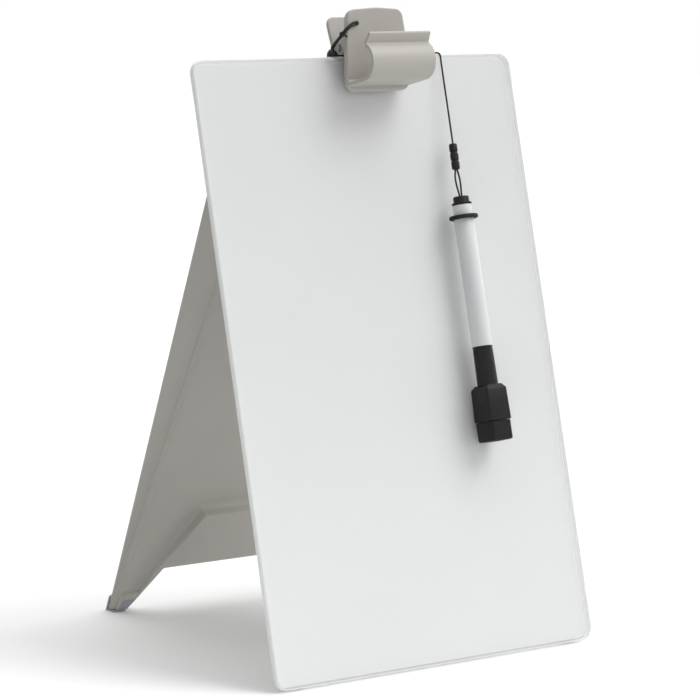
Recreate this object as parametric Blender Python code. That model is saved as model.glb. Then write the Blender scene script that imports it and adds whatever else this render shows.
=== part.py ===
"""Desktop glass whiteboard: a glass board on a folding stand, with a spring clip for pens and a pen on a lanyard.

The board leans back and stands on two bumpers and on the feet of its stand. Board pieces are placed in
the board's own axes: X to the right, Y backwards out of the glass's front face, Z up along the glass.
"""

import math

import bmesh
import bpy
import numpy as np
from mathutils import Matrix, Vector

# Fits shared by all pieces
GAP = 0.0003
RUNNING = 0.0001
OVERRUN = 0.002
ROUND_STEPS = 32
CORNER_STEPS = 6
SHARP_ANGLE = math.radians(30)
EDGE_ANGLE = math.radians(25)

# Board
BOARD_TILT = math.radians(14.15)
GLASS_WIDTH = 0.2271
GLASS_HEIGHT = 0.360
GLASS_THICKNESS = 0.004
GLASS_CORNER = 0.008
GLASS_EDGE = 0.0006
SHEET_INSET = 0.0035
SHEET_THICKNESS = 0.0006
FLOOR_CLEARANCE = 0.0008

# Board bumpers
BUMPER_WIDTH = 0.010
BUMPER_DEPTH = 0.005
BUMPER_HEIGHT = 0.0095
BUMPER_INSET = 0.015
BUMPER_CHAMFER = 0.002

# Hinge rail, its tape, ears and pins
RAIL_WIDTH = 0.140
RAIL_HEIGHT = 0.028
RAIL_THICKNESS = 0.0025
RAIL_CORNER = 0.004
RAIL_DROP = 0.040
TAPE_THICKNESS = 0.0008
TAPE_INSET = 0.002
HINGE_STANDOFF = 0.0057
BARREL_RADIUS = 0.0045
LUG_SPACING = 0.100
LUG_WIDTH = 0.012
EAR_WIDTH = 0.004
EAR_ROOT_HALF = 0.008
EAR_SINK = 0.001
PIN_RADIUS = 0.0015
PIN_HEAD_RADIUS = 0.0026
PIN_HEAD_THICKNESS = 0.0012

# Stand
STAND_LEAN = math.radians(24.62)
STAND_TOP = 0.008
STAND_TOP_CORNER = 0.008
FACE_TOP_WIDTH = 0.1183
FACE_FOOT_WIDTH = 0.1676
REAR_TOP_WIDTH = 0.165
REAR_FOOT_WIDTH = 0.1713
SIDE_TOP_DEPTH = 0.013
SIDE_FOOT_DEPTH = 0.0055
STAND_EDGE = 0.0015
STAND_SKIN = 0.0026
STAND_WALL = 0.003
RIB_THICKNESS = 0.0025
POCKET_ROWS = 3
POCKET_DEPTH = 0.0020
BRIDGE_WALL = 0.0065
HEEL_SETBACK = 0.002
LUG_REAR_CREST = 0.004
LUG_ROOT = 0.006
LUG_ROOT_FRONT = 0.0004
LUG_ROOT_REAR = 0.009

# Raised platform across the stand, its rims, the blocks at the feet and the cut between the legs
PLATFORM_RISE = 0.0085
PLATFORM_FALL = math.radians(5.23)
PLATFORM_EDGE = 0.0008
PLATFORM_SINK = 0.001
PLATFORM_ABOVE_CUT = 0.0395
PLATFORM_TOP_WIDTH = 0.0775
CUT_HEIGHT = 0.0316
CUT_TOP_WIDTH = 0.1161
RIM_TOP_WIDTH = 0.0044
CUT_FOOT_WIDTH = 0.1529
CUT_CORNER = 0.002
RIM_FOOT_WIDTH = 0.0021
FOOT_BLOCK_ABOVE_TONGUE = 0.0045
FOOT_BLOCK_INSET = 0.0006

# Foot caps
SOLE_THICKNESS = 0.0011
SOLE_PROUD = 0.0016
TONGUE_HEIGHT = 0.0083
TONGUE_SIDE = 0.0023
TONGUE_CORNER = 0.003
TONGUE_STRIP = 0.0016
HEEL_PLATE = 0.0015
HEEL_PLATE_HEIGHT = 0.0068
HEEL_PLATE_CORNER = 0.002
STUD_LENGTH = 0.006
STUD_WIDTH = 0.005
STUD_THICKNESS = 0.002

# Clip, placed along the board's top edge
CLIP_X = 0.0100
PLATE_LEAN = math.radians(10.1)
PLATE_FOOT_OUT = 0.0049
PLATE_THICKNESS = 0.0041
PLATE_DROP = 0.0225
PLATE_RISE = 0.0250
PLATE_CROWN = 0.0013
PLATE_CROWN_RADIUS = 0.060
PLATE_FOOT_WIDTH = 0.0452
PLATE_WAIST_WIDTH = 0.0434
PLATE_WAIST_RISE = 0.010
PLATE_WAIST_RADIUS = 0.040
PLATE_TOP_WIDTH = 0.0408
PLATE_RIGHT_WAIST_DRAFT = 0.0007
PLATE_RIGHT_TOP_DRAFT = 0.0018
PLATE_FOOT_CORNER = 0.0050
PLATE_TOP_CORNER = 0.0055
PLATE_EDGE = 0.0008

# Pen trough
TROUGH_WALL = 0.0022
TROUGH_RADIUS = 0.0102
TROUGH_REACH = 0.0233
TROUGH_FLOOR_DROP = 0.0186
TROUGH_RISE_AT_PLATE = 0.0006
THROAT_ANGLE = math.radians(128)
THROAT_RADIUS = 0.0021
LIP_LEAN = math.radians(32.8)
LIP_LENGTH = 0.0047
TROUGH_FILLET = 0.003

# Clip's rear jaw, pivot, spring and pads
JAW_LEAN = math.radians(5.1)
JAW_FOOT_OUT = 0.0014
JAW_THICKNESS = 0.0026
JAW_DROP = 0.0206
JAW_RISE = 0.0261
JAW_FOOT_WIDTH = 0.0373
JAW_SHOULDER_RISE = 0.0175
JAW_TOP_WIDTH = 0.0386
JAW_CORNER = 0.005
JAW_EDGE = 0.0006
PIVOT_BACK = 0.0016
PIVOT_RISE = 0.0053
PIVOT_RADIUS = 0.00125
PIVOT_HEAD_RADIUS = 0.0021
PIVOT_HEAD_THICKNESS = 0.0007
BOSS_RADIUS = 0.0032
JAW_EAR_WIDTH = 0.003
FRONT_EAR_OUTER = 0.020
JAW_EAR_CLEARANCE = 0.0005
JAW_EAR_ROOT_RISE = 0.0015
JAW_EAR_ROOT_HEIGHT = 0.0105
JAW_EAR_SINK = 0.0008
SPRING_WIRE_RADIUS = 0.0005
SPRING_RADIUS = 0.00235
SPRING_PITCH = 0.00155
SPRING_TURNS = 5
CURL_POINTS = 10
SPRING_LEG_RISE = 0.0135
SPRING_LEG_TRAVEL = 0.0015
PAD_WIDTH = 0.034
PAD_HEIGHT = 0.0105
PAD_DROP = 0.0195

# Lanyard
CORD_RADIUS = 0.00055
STRAND_OFFSET = 0.00068
CORD_HOLE_X = 0.0142
CORD_HOLE_RISE = 0.017
CORD_HOLE_RADIUS = 0.00145
KNOT_RADIUS = 0.0017
BEAD_RADIUS = 0.0033
BEAD_HEIGHT = 0.0044
BEAD_PROFILE_SHARES = ((1, 0), (0.97, 0.23), (0.88, 0.55), (0.67, 0.77), (0.5, 0.93), (0.46, 1))
BEAD_BACK = 0.002
BEAD_X = 0.0252
KNOT_X = 0.0239
KNOT_OUT = 0.0095
KNOT_RISE = 0.0112
CORD_SPACING_DIAMETERS = 2.5
HANG_X = 0.0511
HANG_OUT = 0.0009
HANG_DROP = 0.001
LOCK_RADIUS = 0.0025
LOCK_LENGTH = 0.0156
LOCK_WAIST_RADIUS = 0.0021
LOCK_GROOVE = 0.0012
LOCK_EDGE = 0.0004
LOCK_TOP = (0.0473, -0.0057, -0.0560)
LOCK_FOOT = (0.0461, -0.0071, -0.0715)

# Pen, whose sizes run along its axis from the seam between barrel and cap
PEN_X = 0.0451
PEN_OUT = 0.0090
PEN_SEAM_DROP = 0.17865
BARREL_LENGTH = 0.0851
BARREL_OUTER_RADIUS = 0.00605
BARREL_COLLAR_RADIUS = 0.0058
BARREL_BORE_RADIUS = 0.00485
BARREL_EDGE = 0.0004
RING_RADIUS = 0.0087
RING_THICKNESS = 0.0024
RING_BELOW_TOP = 0.0074
RING_EDGE = 0.0008
PLUG_RADIUS = 0.00475
PLUG_LENGTH = 0.0048
PLUG_FLANGE_RADIUS = 0.0060
PLUG_FLANGE = 0.001
PLUG_STEM = 0.005
PLUG_EDGE = 0.0008
PLUG_RECESS_RADIUS = 0.0017
PLUG_RECESS_DEPTH = 0.0016
RESERVOIR_RADIUS = 0.0044
RESERVOIR_LENGTH = 0.062
NOSE_STEM = 0.008
NOSE_RADIUS = 0.0045
NOSE_COLLAR = 0.003
NOSE_LENGTH = 0.013
NOSE_TIP_RADIUS = 0.0026
NOSE_BORE_RADIUS = 0.0016
NIB_RADIUS = 0.0013
NIB_LENGTH = 0.014
NIB_OUT = 0.0045
NIB_BALL = 0.0013
CAP_LENGTH = 0.0229
CAP_TOP_RADIUS = 0.00595
CAP_FOOT_RADIUS = 0.00625
CAP_LIP_RADIUS = 0.0062
CAP_LIP = 0.0008
CAP_GROOVE = 0.0006
CAP_GROOVE_DEPTH = 0.0003
CAP_BORE_RADIUS = 0.0049
CAP_BORE_DEPTH = 0.0235
CAP_SHOULDER = 0.0024
SHOULDER_INSET = 0.0021
BLOCK_WIDTH = 0.0152
BLOCK_DEPTH = 0.0174
BLOCK_DRAFT = 0.0003
BLOCK_HEIGHT = 0.0191
BLOCK_CORNER = 0.0010
MAGNET_RADIUS = 0.005
MAGNET_THICKNESS = 0.0025
FELT_HEIGHT = 0.0115
FELT_INSET = 0.0005
FELT_CORNER = 0.0012
FELT_EDGE = 0.0008

# Places worked out from the sizes above
sheet_front = GLASS_THICKNESS + GAP
sheet_back = sheet_front + SHEET_THICKNESS
tape_front = sheet_back + GAP
tape_back = tape_front + TAPE_THICKNESS
rail_front = tape_back + GAP
rail_back = rail_front + RAIL_THICKNESS
hinge_back = rail_back + HINGE_STANDOFF
hinge_up = GLASS_HEIGHT - RAIL_DROP
lift = GLASS_THICKNESS * math.sin(BOARD_TILT) + FLOOR_CLEARANCE
opening = BOARD_TILT + STAND_LEAN
hinge_height = hinge_up * math.cos(BOARD_TILT) - hinge_back * math.sin(BOARD_TILT) + lift
hinge_depth = hinge_up * math.sin(BOARD_TILT) + hinge_back * math.cos(BOARD_TILT)
leg_length = hinge_height / math.cos(STAND_LEAN)
tip_length = leg_length - (SOLE_THICKNESS + GAP) / math.cos(STAND_LEAN)
rear_of_foot = SIDE_FOOT_DEPTH + GAP + HEEL_PLATE


def floor_drop(depth):
    """How far down the stand the floor lies, at a depth behind the stand's front face."""
    return leg_length + depth * math.tan(STAND_LEAN)


front_reach = GLASS_EDGE * math.sin(BOARD_TILT)
rear_reach = (
    hinge_depth + rear_of_foot * math.cos(STAND_LEAN) + floor_drop(rear_of_foot) * math.sin(STAND_LEAN)
)
cut_top = tip_length - CUT_HEIGHT
platform_top = cut_top - PLATFORM_ABOVE_CUT
tongue_top = tip_length - TONGUE_HEIGHT
tongue_foot = tip_length - TONGUE_STRIP
tongue_outer = FACE_FOOT_WIDTH / 2 - TONGUE_SIDE
block_top = tongue_top - FOOT_BLOCK_ABOVE_TONGUE


for old in list(bpy.data.objects):
    bpy.data.objects.remove(old, do_unlink=True)


# Materials


def linear(hex_code):
    """A linear colour from an sRGB hex code."""
    channels = [int(hex_code[place : place + 2], 16) / 255 for place in (0, 2, 4)]
    return [value / 12.92 if value <= 0.04045 else ((value + 0.055) / 1.055) ** 2.4 for value in channels]


def material(name, hex_code, roughness, metallic=0, alpha=1):
    made = bpy.data.materials.new(name)
    made.use_nodes = True
    shader = made.node_tree.nodes["Principled BSDF"]
    shader.inputs["Base Color"].default_value = (*linear(hex_code), 1)
    shader.inputs["Roughness"].default_value = roughness
    shader.inputs["Metallic"].default_value = metallic
    shader.inputs["Alpha"].default_value = alpha
    made.diffuse_color = (*linear(hex_code), alpha)
    return made


# Outlines and solids


def arc(centre, radius, start, end, steps):
    """Points on an arc from one angle to another, both ends included."""
    angles = [start + (end - start) * step / steps for step in range(steps + 1)]
    return [(centre[0] + radius * math.cos(angle), centre[1] + radius * math.sin(angle)) for angle in angles]


def rounded(corners, radii):
    """The outline of a polygon whose corners have the given radii."""
    outline = []
    for index, radius in enumerate(radii):
        corner = Vector(corners[index])
        before = (Vector(corners[index - 1]) - corner).normalized()
        after = (Vector(corners[(index + 1) % len(corners)]) - corner).normalized()
        if radius == 0:
            outline.append(tuple(corner))
            continue
        half = before.angle(after) / 2
        centre = corner + (before + after).normalized() * (radius / math.sin(half))
        first = corner + before * (radius / math.tan(half)) - centre
        turn = (math.pi - 2 * half) * (1 if before.cross(after) < 0 else -1)
        for step in range(CORNER_STEPS + 1):
            outline.append(tuple(centre + Matrix.Rotation(turn * step / CORNER_STEPS, 2) @ first))
    return outline


def rectangle(width, height, radius, middle=(0, 0)):
    x, z = middle
    corners = [
        (x - width / 2, z - height / 2),
        (x + width / 2, z - height / 2),
        (x + width / 2, z + height / 2),
        (x - width / 2, z + height / 2),
    ]
    return rounded(corners, [radius] * 4)


def both_sides(right):
    """A whole outline from its right side, listed from the foot up."""
    return right + [(-x, z) for x, z in reversed(right)]


def hull(points):
    """The convex outline round some points."""
    ordered = sorted(set(points))
    outline = []
    for run in (ordered, ordered[::-1]):
        side = []
        for point in run:
            while len(side) > 1 and turn_of(side[-2], side[-1], point) <= 0:
                side.pop()
            side.append(point)
        outline += side[:-1]
    return outline


def turn_of(first, second, third):
    return (Vector(second) - Vector(first)).cross(Vector(third) - Vector(first))


def loft(rings):
    """A solid through rings of equally many points, with a flat face at each end."""
    mesh = bmesh.new()
    loops = [[mesh.verts.new(place) for place in ring] for ring in rings]
    mesh.faces.new(loops[0])
    mesh.faces.new(loops[-1])
    for lower, upper in zip(loops, loops[1:]):
        for index in range(len(lower)):
            mesh.faces.new((lower[index - 1], lower[index], upper[index], upper[index - 1]))
    bmesh.ops.recalc_face_normals(mesh, faces=mesh.faces)
    return mesh


def in_front_plane(point, depth):
    return (point[0], depth, point[1])


def in_side_plane(point, depth):
    return (depth, point[0], point[1])


def in_plan(point, depth):
    return (point[0], point[1], depth)


def slab(outline, near, far, place):
    """A solid between two faces of one outline. Each face lies at a depth or at a function of the point."""
    rings = []
    for depth in (near, far):
        rings.append([place(point, depth(point) if callable(depth) else depth) for point in outline])
    return loft(rings)


def turned(profile, steps=ROUND_STEPS):
    """A solid turned about Z from (radius, height) points. A profile off the axis closes on itself."""
    mesh = bmesh.new()
    rings = []
    for radius, height in profile:
        if radius == 0:
            rings.append([mesh.verts.new((0, 0, height))])
            continue
        angles = [2 * math.pi * step / steps for step in range(steps)]
        rings.append([mesh.verts.new((radius * math.cos(a), radius * math.sin(a), height)) for a in angles])
    if profile[0][0] > 0:
        rings.append(rings[0])
    for lower, upper in zip(rings, rings[1:]):
        for step in range(steps):
            after = (step + 1) % steps
            corners = [
                lower[step % len(lower)],
                lower[after % len(lower)],
                upper[after % len(upper)],
                upper[step % len(upper)],
            ]
            corners = list(dict.fromkeys(corners))
            if len(corners) > 2:
                mesh.faces.new(corners)
    bmesh.ops.recalc_face_normals(mesh, faces=mesh.faces)
    return mesh


def along_x(mesh):
    """A solid turned about Z, laid along X."""
    mesh.transform(Matrix.Rotation(math.pi / 2, 4, "Y"))
    return mesh


def rod(radius, start, end, steps=ROUND_STEPS):
    return turned([(0, start), (radius, start), (radius, end), (0, end)], steps)


def ball(radius, steps=ROUND_STEPS // 2):
    profile = arc((0, 0), radius, -math.pi / 2, math.pi / 2, steps // 2)
    return turned([(0, -radius)] + profile[1:-1] + [(0, radius)], steps)


# Objects


def axis(name, parent, location, rotation=(0, 0, 0)):
    empty = bpy.data.objects.new(name, None)
    bpy.context.scene.collection.objects.link(empty)
    empty.parent = parent
    empty.location = location
    empty.rotation_euler = rotation
    return empty


def link(name, data, parent, location=(0, 0, 0)):
    made = bpy.data.objects.new(name, data)
    bpy.context.scene.collection.objects.link(made)
    made.parent = parent
    made.location = location
    return made


def solid(name, mesh, finish, parent, location=(0, 0, 0)):
    data = bpy.data.meshes.new(name)
    mesh.to_mesh(data)
    mesh.free()
    data.shade_smooth()
    data.set_sharp_from_angle(angle=SHARP_ANGLE)
    if finish:
        data.materials.append(finish)
    return link(name, data, parent, location)


def bevel(target, width, segments=2):
    edge = target.modifiers.new("Edge", "BEVEL")
    edge.width = width
    edge.segments = segments
    edge.limit_method = "ANGLE"
    edge.angle_limit = EDGE_ANGLE
    return target


def combine(target, name, mesh, operation="DIFFERENCE", edge=0):
    """Cuts a shape out of a piece or joins it to the piece. The shape stays as a hidden helper."""
    shape = solid(name, mesh, None, target.parent)
    shape.location = target.location
    shape.hide_render = True
    shape.display_type = "WIRE"
    if edge:
        bevel(shape, edge, 1)
    step = target.modifiers.new(name, "BOOLEAN")
    step.operation = operation
    step.object = shape


def cord(name, points, radius, finish, parent, resolution=2):
    data = bpy.data.curves.new(name, "CURVE")
    data.dimensions = "3D"
    data.bevel_depth = radius
    data.bevel_resolution = resolution
    data.use_fill_caps = True
    data.materials.append(finish)
    line = data.splines.new("POLY")
    line.points.add(len(points) - 1)
    for point, place in zip(line.points, points):
        point.co = (*place, 1)
    return link(name, data, parent)


def smooth_route(places, spacing):
    """Points at an even spacing along a smooth curve through the given places."""
    places = np.array(places)
    ends = np.vstack([2 * places[0] - places[1], places, 2 * places[-1] - places[-2]])
    share = np.linspace(0, 1, 24, endpoint=False)[:, None]
    pieces = []
    for before, start, end, after in zip(ends, ends[1:], ends[2:], ends[3:]):
        bend = 2 * before - 5 * start + 4 * end - after
        twist = 3 * start - before - 3 * end + after
        pieces.append(start + ((end - before) * share + bend * share**2 + twist * share**3) / 2)
    fine = np.vstack(pieces + [places[-1:]])
    run = np.concatenate([[0], np.cumsum(np.linalg.norm(np.diff(fine, axis=0), axis=1))])
    even = np.linspace(0, run[-1], max(3, round(run[-1] / spacing) + 1))
    points = np.stack([np.interp(even, run, line) for line in fine.T], axis=1)
    return [tuple(point) for point in points], run[-1]


def free_cord(name, places, finish, parent):
    """A limp cord along a smooth route, with its length printed."""
    spacing = 2 * CORD_RADIUS * CORD_SPACING_DIAMETERS
    points, length = smooth_route(places, spacing)
    print(f"{name}: {length:.4f} m")
    return cord(name, points, CORD_RADIUS, finish, parent)


clear_glass = material("low_iron_glass", "E9ECEC", 0.05, alpha=0.5)
white_enamel = material("white_enamelled_steel", "EDEEEE", 0.3)
foam_tape = material("foam_tape", "8B8B88", 0.9)
grey_plastic = material("warm_grey_plastic", "ADAAA3", 0.45)
pin_steel = material("pin_steel", "B9BBBD", 0.3, metallic=1)
dark_steel = material("spring_steel", "5C5E60", 0.35, metallic=1)
clear_rubber = material("clear_bumper_rubber", "DCDEDC", 0.3)
foot_rubber = material("lavender_grey_rubber", "8E8B96", 0.7)
pad_rubber = material("black_pad_rubber", "2B2C2C", 0.8)
black_cord = material("black_woven_cord", "232424", 0.85)
black_plastic = material("black_plastic", "2C2D2D", 0.4)
white_plastic = material("white_plastic", "EDEEF0", 0.3)
ink_fibre = material("ink_fibre", "4B4D55", 0.9)
nib_fibre = material("black_nib_fibre", "1D1D1F", 0.9)
black_felt = material("black_eraser_felt", "29292A", 0.95)
magnet_grey = material("magnet_ceramic", "4A4A4C", 0.6)


# Board

board = axis("board_frame", None, (0, -(front_reach + rear_reach) / 2, lift), (-BOARD_TILT, 0, 0))


def make_glass():
    outline = rectangle(GLASS_WIDTH, GLASS_HEIGHT, GLASS_CORNER, (0, GLASS_HEIGHT / 2))
    mesh = slab(outline, 0, GLASS_THICKNESS, in_front_plane)
    bevel(solid("glass_panel", mesh, clear_glass, board), GLASS_EDGE, 1)


def make_sheet():
    width = GLASS_WIDTH - 2 * SHEET_INSET
    height = GLASS_HEIGHT - 2 * SHEET_INSET
    outline = rectangle(width, height, GLASS_CORNER - SHEET_INSET, (0, GLASS_HEIGHT / 2))
    solid("steel_backing_sheet", slab(outline, sheet_front, sheet_back, in_front_plane), white_enamel, board)


def make_bumpers():
    for name, side in (("board_foot_left", -1), ("board_foot_right", 1)):
        middle = side * (GLASS_WIDTH / 2 - BUMPER_INSET)
        front = sheet_back + GAP
        back = front + BUMPER_DEPTH

        def ground(depth):
            return (depth * math.sin(BOARD_TILT) - lift) / math.cos(BOARD_TILT)

        outline = [
            (front, ground(front)),
            (back, ground(back)),
            (back, BUMPER_HEIGHT - BUMPER_CHAMFER),
            (back - BUMPER_CHAMFER, BUMPER_HEIGHT),
            (front, BUMPER_HEIGHT),
        ]
        mesh = slab(outline, middle - BUMPER_WIDTH / 2, middle + BUMPER_WIDTH / 2, in_side_plane)
        solid(name, mesh, clear_rubber, board)


def make_rail():
    tape = rectangle(RAIL_WIDTH - 2 * TAPE_INSET, RAIL_HEIGHT - 2 * TAPE_INSET, RAIL_CORNER, (0, hinge_up))
    solid("rail_tape", slab(tape, tape_front, tape_back, in_front_plane), foam_tape, board)
    base = rectangle(RAIL_WIDTH, RAIL_HEIGHT, RAIL_CORNER, (0, hinge_up))
    rail = solid("hinge_rail", slab(base, rail_front, rail_back, in_front_plane), grey_plastic, board)
    root = rail_back - EAR_SINK
    barrel = arc((hinge_back, hinge_up), BARREL_RADIUS, -math.pi / 2, math.pi / 2, ROUND_STEPS // 2)
    ear = [(root, hinge_up - EAR_ROOT_HALF)] + barrel + [(root, hinge_up + EAR_ROOT_HALF)]
    for side in (-1, 1):
        for end in (-1, 1):
            inner = side * LUG_SPACING / 2 + end * (LUG_WIDTH / 2 + GAP)
            mesh = slab(ear, inner, inner + end * EAR_WIDTH, in_side_plane)
            combine(rail, f"hinge_ear_{side}_{end}", mesh, "UNION")
    for side in (-1, 1):
        middle = side * LUG_SPACING / 2
        reach = LUG_WIDTH / 2 + GAP + EAR_WIDTH + OVERRUN
        bore = along_x(rod(PIN_RADIUS + RUNNING, middle - reach, middle + reach))
        bore.transform(Matrix.Translation((0, hinge_back, hinge_up)))
        combine(rail, f"ear_bore_{side}", bore)


def make_hinge_pins():
    for name, side in (("hinge_pin_left", -1), ("hinge_pin_right", 1)):
        half = LUG_WIDTH / 2 + GAP + EAR_WIDTH
        head = half + GAP
        profile = [
            (0, -half),
            (PIN_RADIUS, -half),
            (PIN_RADIUS, head),
            (PIN_HEAD_RADIUS, head),
            (PIN_HEAD_RADIUS, head + PIN_HEAD_THICKNESS),
            (0, head + PIN_HEAD_THICKNESS),
        ]
        mesh = along_x(turned(profile))
        if side < 0:
            mesh.transform(Matrix.Rotation(math.pi, 4, "Z"))
        solid(name, mesh, pin_steel, board, (side * LUG_SPACING / 2, hinge_back, hinge_up))


# Stand, in axes that start at its hinge: Y backwards out of its front face, Z up along it

stand = axis("stand_fold_axis", board, (0, hinge_back, hinge_up), (opening, 0, 0))


def between(top, foot, drop):
    """A size that runs evenly from the panel's top edge to its foot."""
    return top + (foot - top) * (drop - STAND_TOP) / (tip_length - STAND_TOP)


def side_depth(drop):
    return between(SIDE_TOP_DEPTH, SIDE_FOOT_DEPTH, drop)


def half_width(drop, depth):
    """Half the stand's width, at a distance down it and a depth behind its front face."""
    face = between(FACE_TOP_WIDTH, FACE_FOOT_WIDTH, drop) / 2
    rear = between(REAR_TOP_WIDTH, REAR_FOOT_WIDTH, drop) / 2
    return face + (rear - face) * depth / side_depth(drop)


def cut_half(drop):
    """Half the width of the cut between the legs."""
    share = (drop - cut_top) / (tip_length - cut_top)
    return (CUT_TOP_WIDTH + (CUT_FOOT_WIDTH - CUT_TOP_WIDTH) * share) / 2


def cap_top(depth):
    """The height along the stand of the plane above its soles, at a depth behind its front face."""
    return (SOLE_THICKNESS + GAP) / math.cos(STAND_LEAN) - floor_drop(depth)


def platform_front(point):
    """The platform's front face, which slopes back towards the feet."""
    return (-point[1] - platform_top) * math.tan(PLATFORM_FALL) - PLATFORM_RISE


def panel_ring(depth_of, foot, radius):
    corners = [
        (half_width(foot, depth_of(foot)), -foot),
        (half_width(STAND_TOP, depth_of(STAND_TOP)), -STAND_TOP),
    ]
    outline = rounded(both_sides(corners), [0, radius, radius, 0])
    return [(x, depth_of(-z), z) for x, z in outline]


def pocket(side, top, foot):
    """A shallow cell of the back, between the side wall and the middle rib."""
    rings = []
    for start in (True, False):
        ring = []
        for drop in (top, foot):
            depth = side_depth(drop) + (-POCKET_DEPTH if start else OVERRUN)
            outer = half_width(drop, depth) - STAND_WALL
            edges = [RIB_THICKNESS / 2, outer] if drop == top else [outer, RIB_THICKNESS / 2]
            ring += [(side * x, depth, -drop) for x in edges]
        rings.append(ring)
    return loft(rings)


def make_lug(target, side):
    """A hinge lug with a heel that meets the rail when the stand is open."""
    reach = HINGE_STANDOFF - GAP
    crest = (reach - HEEL_SETBACK * math.cos(opening)) / math.sin(opening)
    root = STAND_TOP + LUG_ROOT
    circle = arc((0, 0), BARREL_RADIUS, 0, 2 * math.pi, ROUND_STEPS)[:-1]
    corners = [
        (-HEEL_SETBACK, crest),
        (BARREL_RADIUS - HEEL_SETBACK, LUG_REAR_CREST),
        (LUG_ROOT_FRONT, -root),
        (LUG_ROOT_REAR, -root),
    ]
    middle = side * LUG_SPACING / 2
    outline = hull(circle + corners)
    mesh = slab(outline, middle - LUG_WIDTH / 2, middle + LUG_WIDTH / 2, in_side_plane)
    combine(target, f"stand_lug_{side}", mesh, "UNION")


def platform_outline():
    """The right half of the platform, of the rim along the leg's inner edge and of the block at its foot."""
    foot = tip_length + OVERRUN
    return [
        (cut_half(cut_top) - OVERRUN, -cut_top - OVERRUN),
        (cut_half(foot) - OVERRUN, -foot),
        (half_width(foot, 0) - FOOT_BLOCK_INSET, -foot),
        (half_width(block_top, 0) - FOOT_BLOCK_INSET, -block_top),
        (cut_half(block_top) + RIM_FOOT_WIDTH, -block_top),
        (cut_half(cut_top) + RIM_TOP_WIDTH, -cut_top),
        (PLATFORM_TOP_WIDTH / 2, -platform_top),
    ]


def tongue_outline(margin, inner_foot, inner_top):
    """The foot cap's front patch, or the window for it, at the leg's inner edge."""
    top = tongue_top + margin
    foot = tongue_foot - margin
    outer = tongue_outer - margin
    corners = [(inner_foot, -foot), (outer, -foot), (outer, -top), (inner_top, -top)]
    return rounded(corners, [0, 0, TONGUE_CORNER, 0])


def stud_box(margin):
    """The stud that holds a foot cap, and the hole for it in the leg's end."""
    middle = (cut_half(tongue_top) + tongue_outer) / 2
    depth = (STAND_SKIN + side_depth(tongue_top)) / 2 - STUD_THICKNESS / 2
    outline = rectangle(
        STUD_WIDTH + 2 * margin,
        STUD_LENGTH + 2 * OVERRUN + 2 * margin,
        0,
        (middle, -tongue_top + STUD_LENGTH / 2 - OVERRUN),
    )
    return outline, depth - margin, depth + STUD_THICKNESS + margin


def mirrored(outline, side):
    return [(side * x, z) for x, z in outline]


def make_stand():
    foot = tip_length + OVERRUN
    front = panel_ring(lambda drop: 0, foot, STAND_TOP_CORNER)
    rear = panel_ring(side_depth, foot + SIDE_FOOT_DEPTH * math.tan(STAND_LEAN), STAND_TOP_CORNER)
    panel = bevel(solid("stand_panel", loft([front, rear]), grey_plastic, stand), STAND_EDGE)

    raised = slab(both_sides(platform_outline()), platform_front, PLATFORM_SINK, in_front_plane)
    combine(panel, "platform", raised, "UNION", PLATFORM_EDGE)
    for side in (-1, 1):
        make_lug(panel, side)

    first = STAND_TOP + STAND_WALL
    last = cut_top - BRIDGE_WALL
    step = (last - first + RIB_THICKNESS) / POCKET_ROWS
    for row in range(POCKET_ROWS):
        top = first + row * step
        for side in (-1, 1):
            combine(panel, f"pocket_{row}_{side}", pocket(side, top, top + step - RIB_THICKNESS))

    below = tip_length + SIDE_TOP_DEPTH
    cut = rounded(
        both_sides([(cut_half(below), -below), (cut_half(cut_top), -cut_top)]),
        [0, CUT_CORNER, CUT_CORNER, 0],
    )
    through = slab(cut, -PLATFORM_RISE - OVERRUN, SIDE_TOP_DEPTH + OVERRUN, in_front_plane)
    combine(panel, "leg_cut", through)
    over = [(depth, cap_top(depth)) for depth in (-PLATFORM_RISE, SIDE_TOP_DEPTH)]
    under = [(depth, -below) for depth in (SIDE_TOP_DEPTH, -PLATFORM_RISE)]
    half = FACE_FOOT_WIDTH
    combine(panel, "sole_plane", slab(over + under, -half, half, in_side_plane))

    for side in (-1, 1):
        inner = cut_half(tongue_top) - OVERRUN
        window = tongue_outline(0, inner, inner)
        mesh = slab(mirrored(window, side), -PLATFORM_RISE, SIDE_TOP_DEPTH, in_front_plane)
        combine(panel, f"tongue_window_{side}", mesh)
        outline, near, far = stud_box(GAP)
        combine(panel, f"stud_hole_{side}", slab(mirrored(outline, side), near, far, in_front_plane))
        reach = LUG_WIDTH / 2 + OVERRUN
        middle = side * LUG_SPACING / 2
        bore = along_x(rod(PIN_RADIUS + RUNNING, middle - reach, middle + reach))
        combine(panel, f"lug_bore_{side}", bore)


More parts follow.
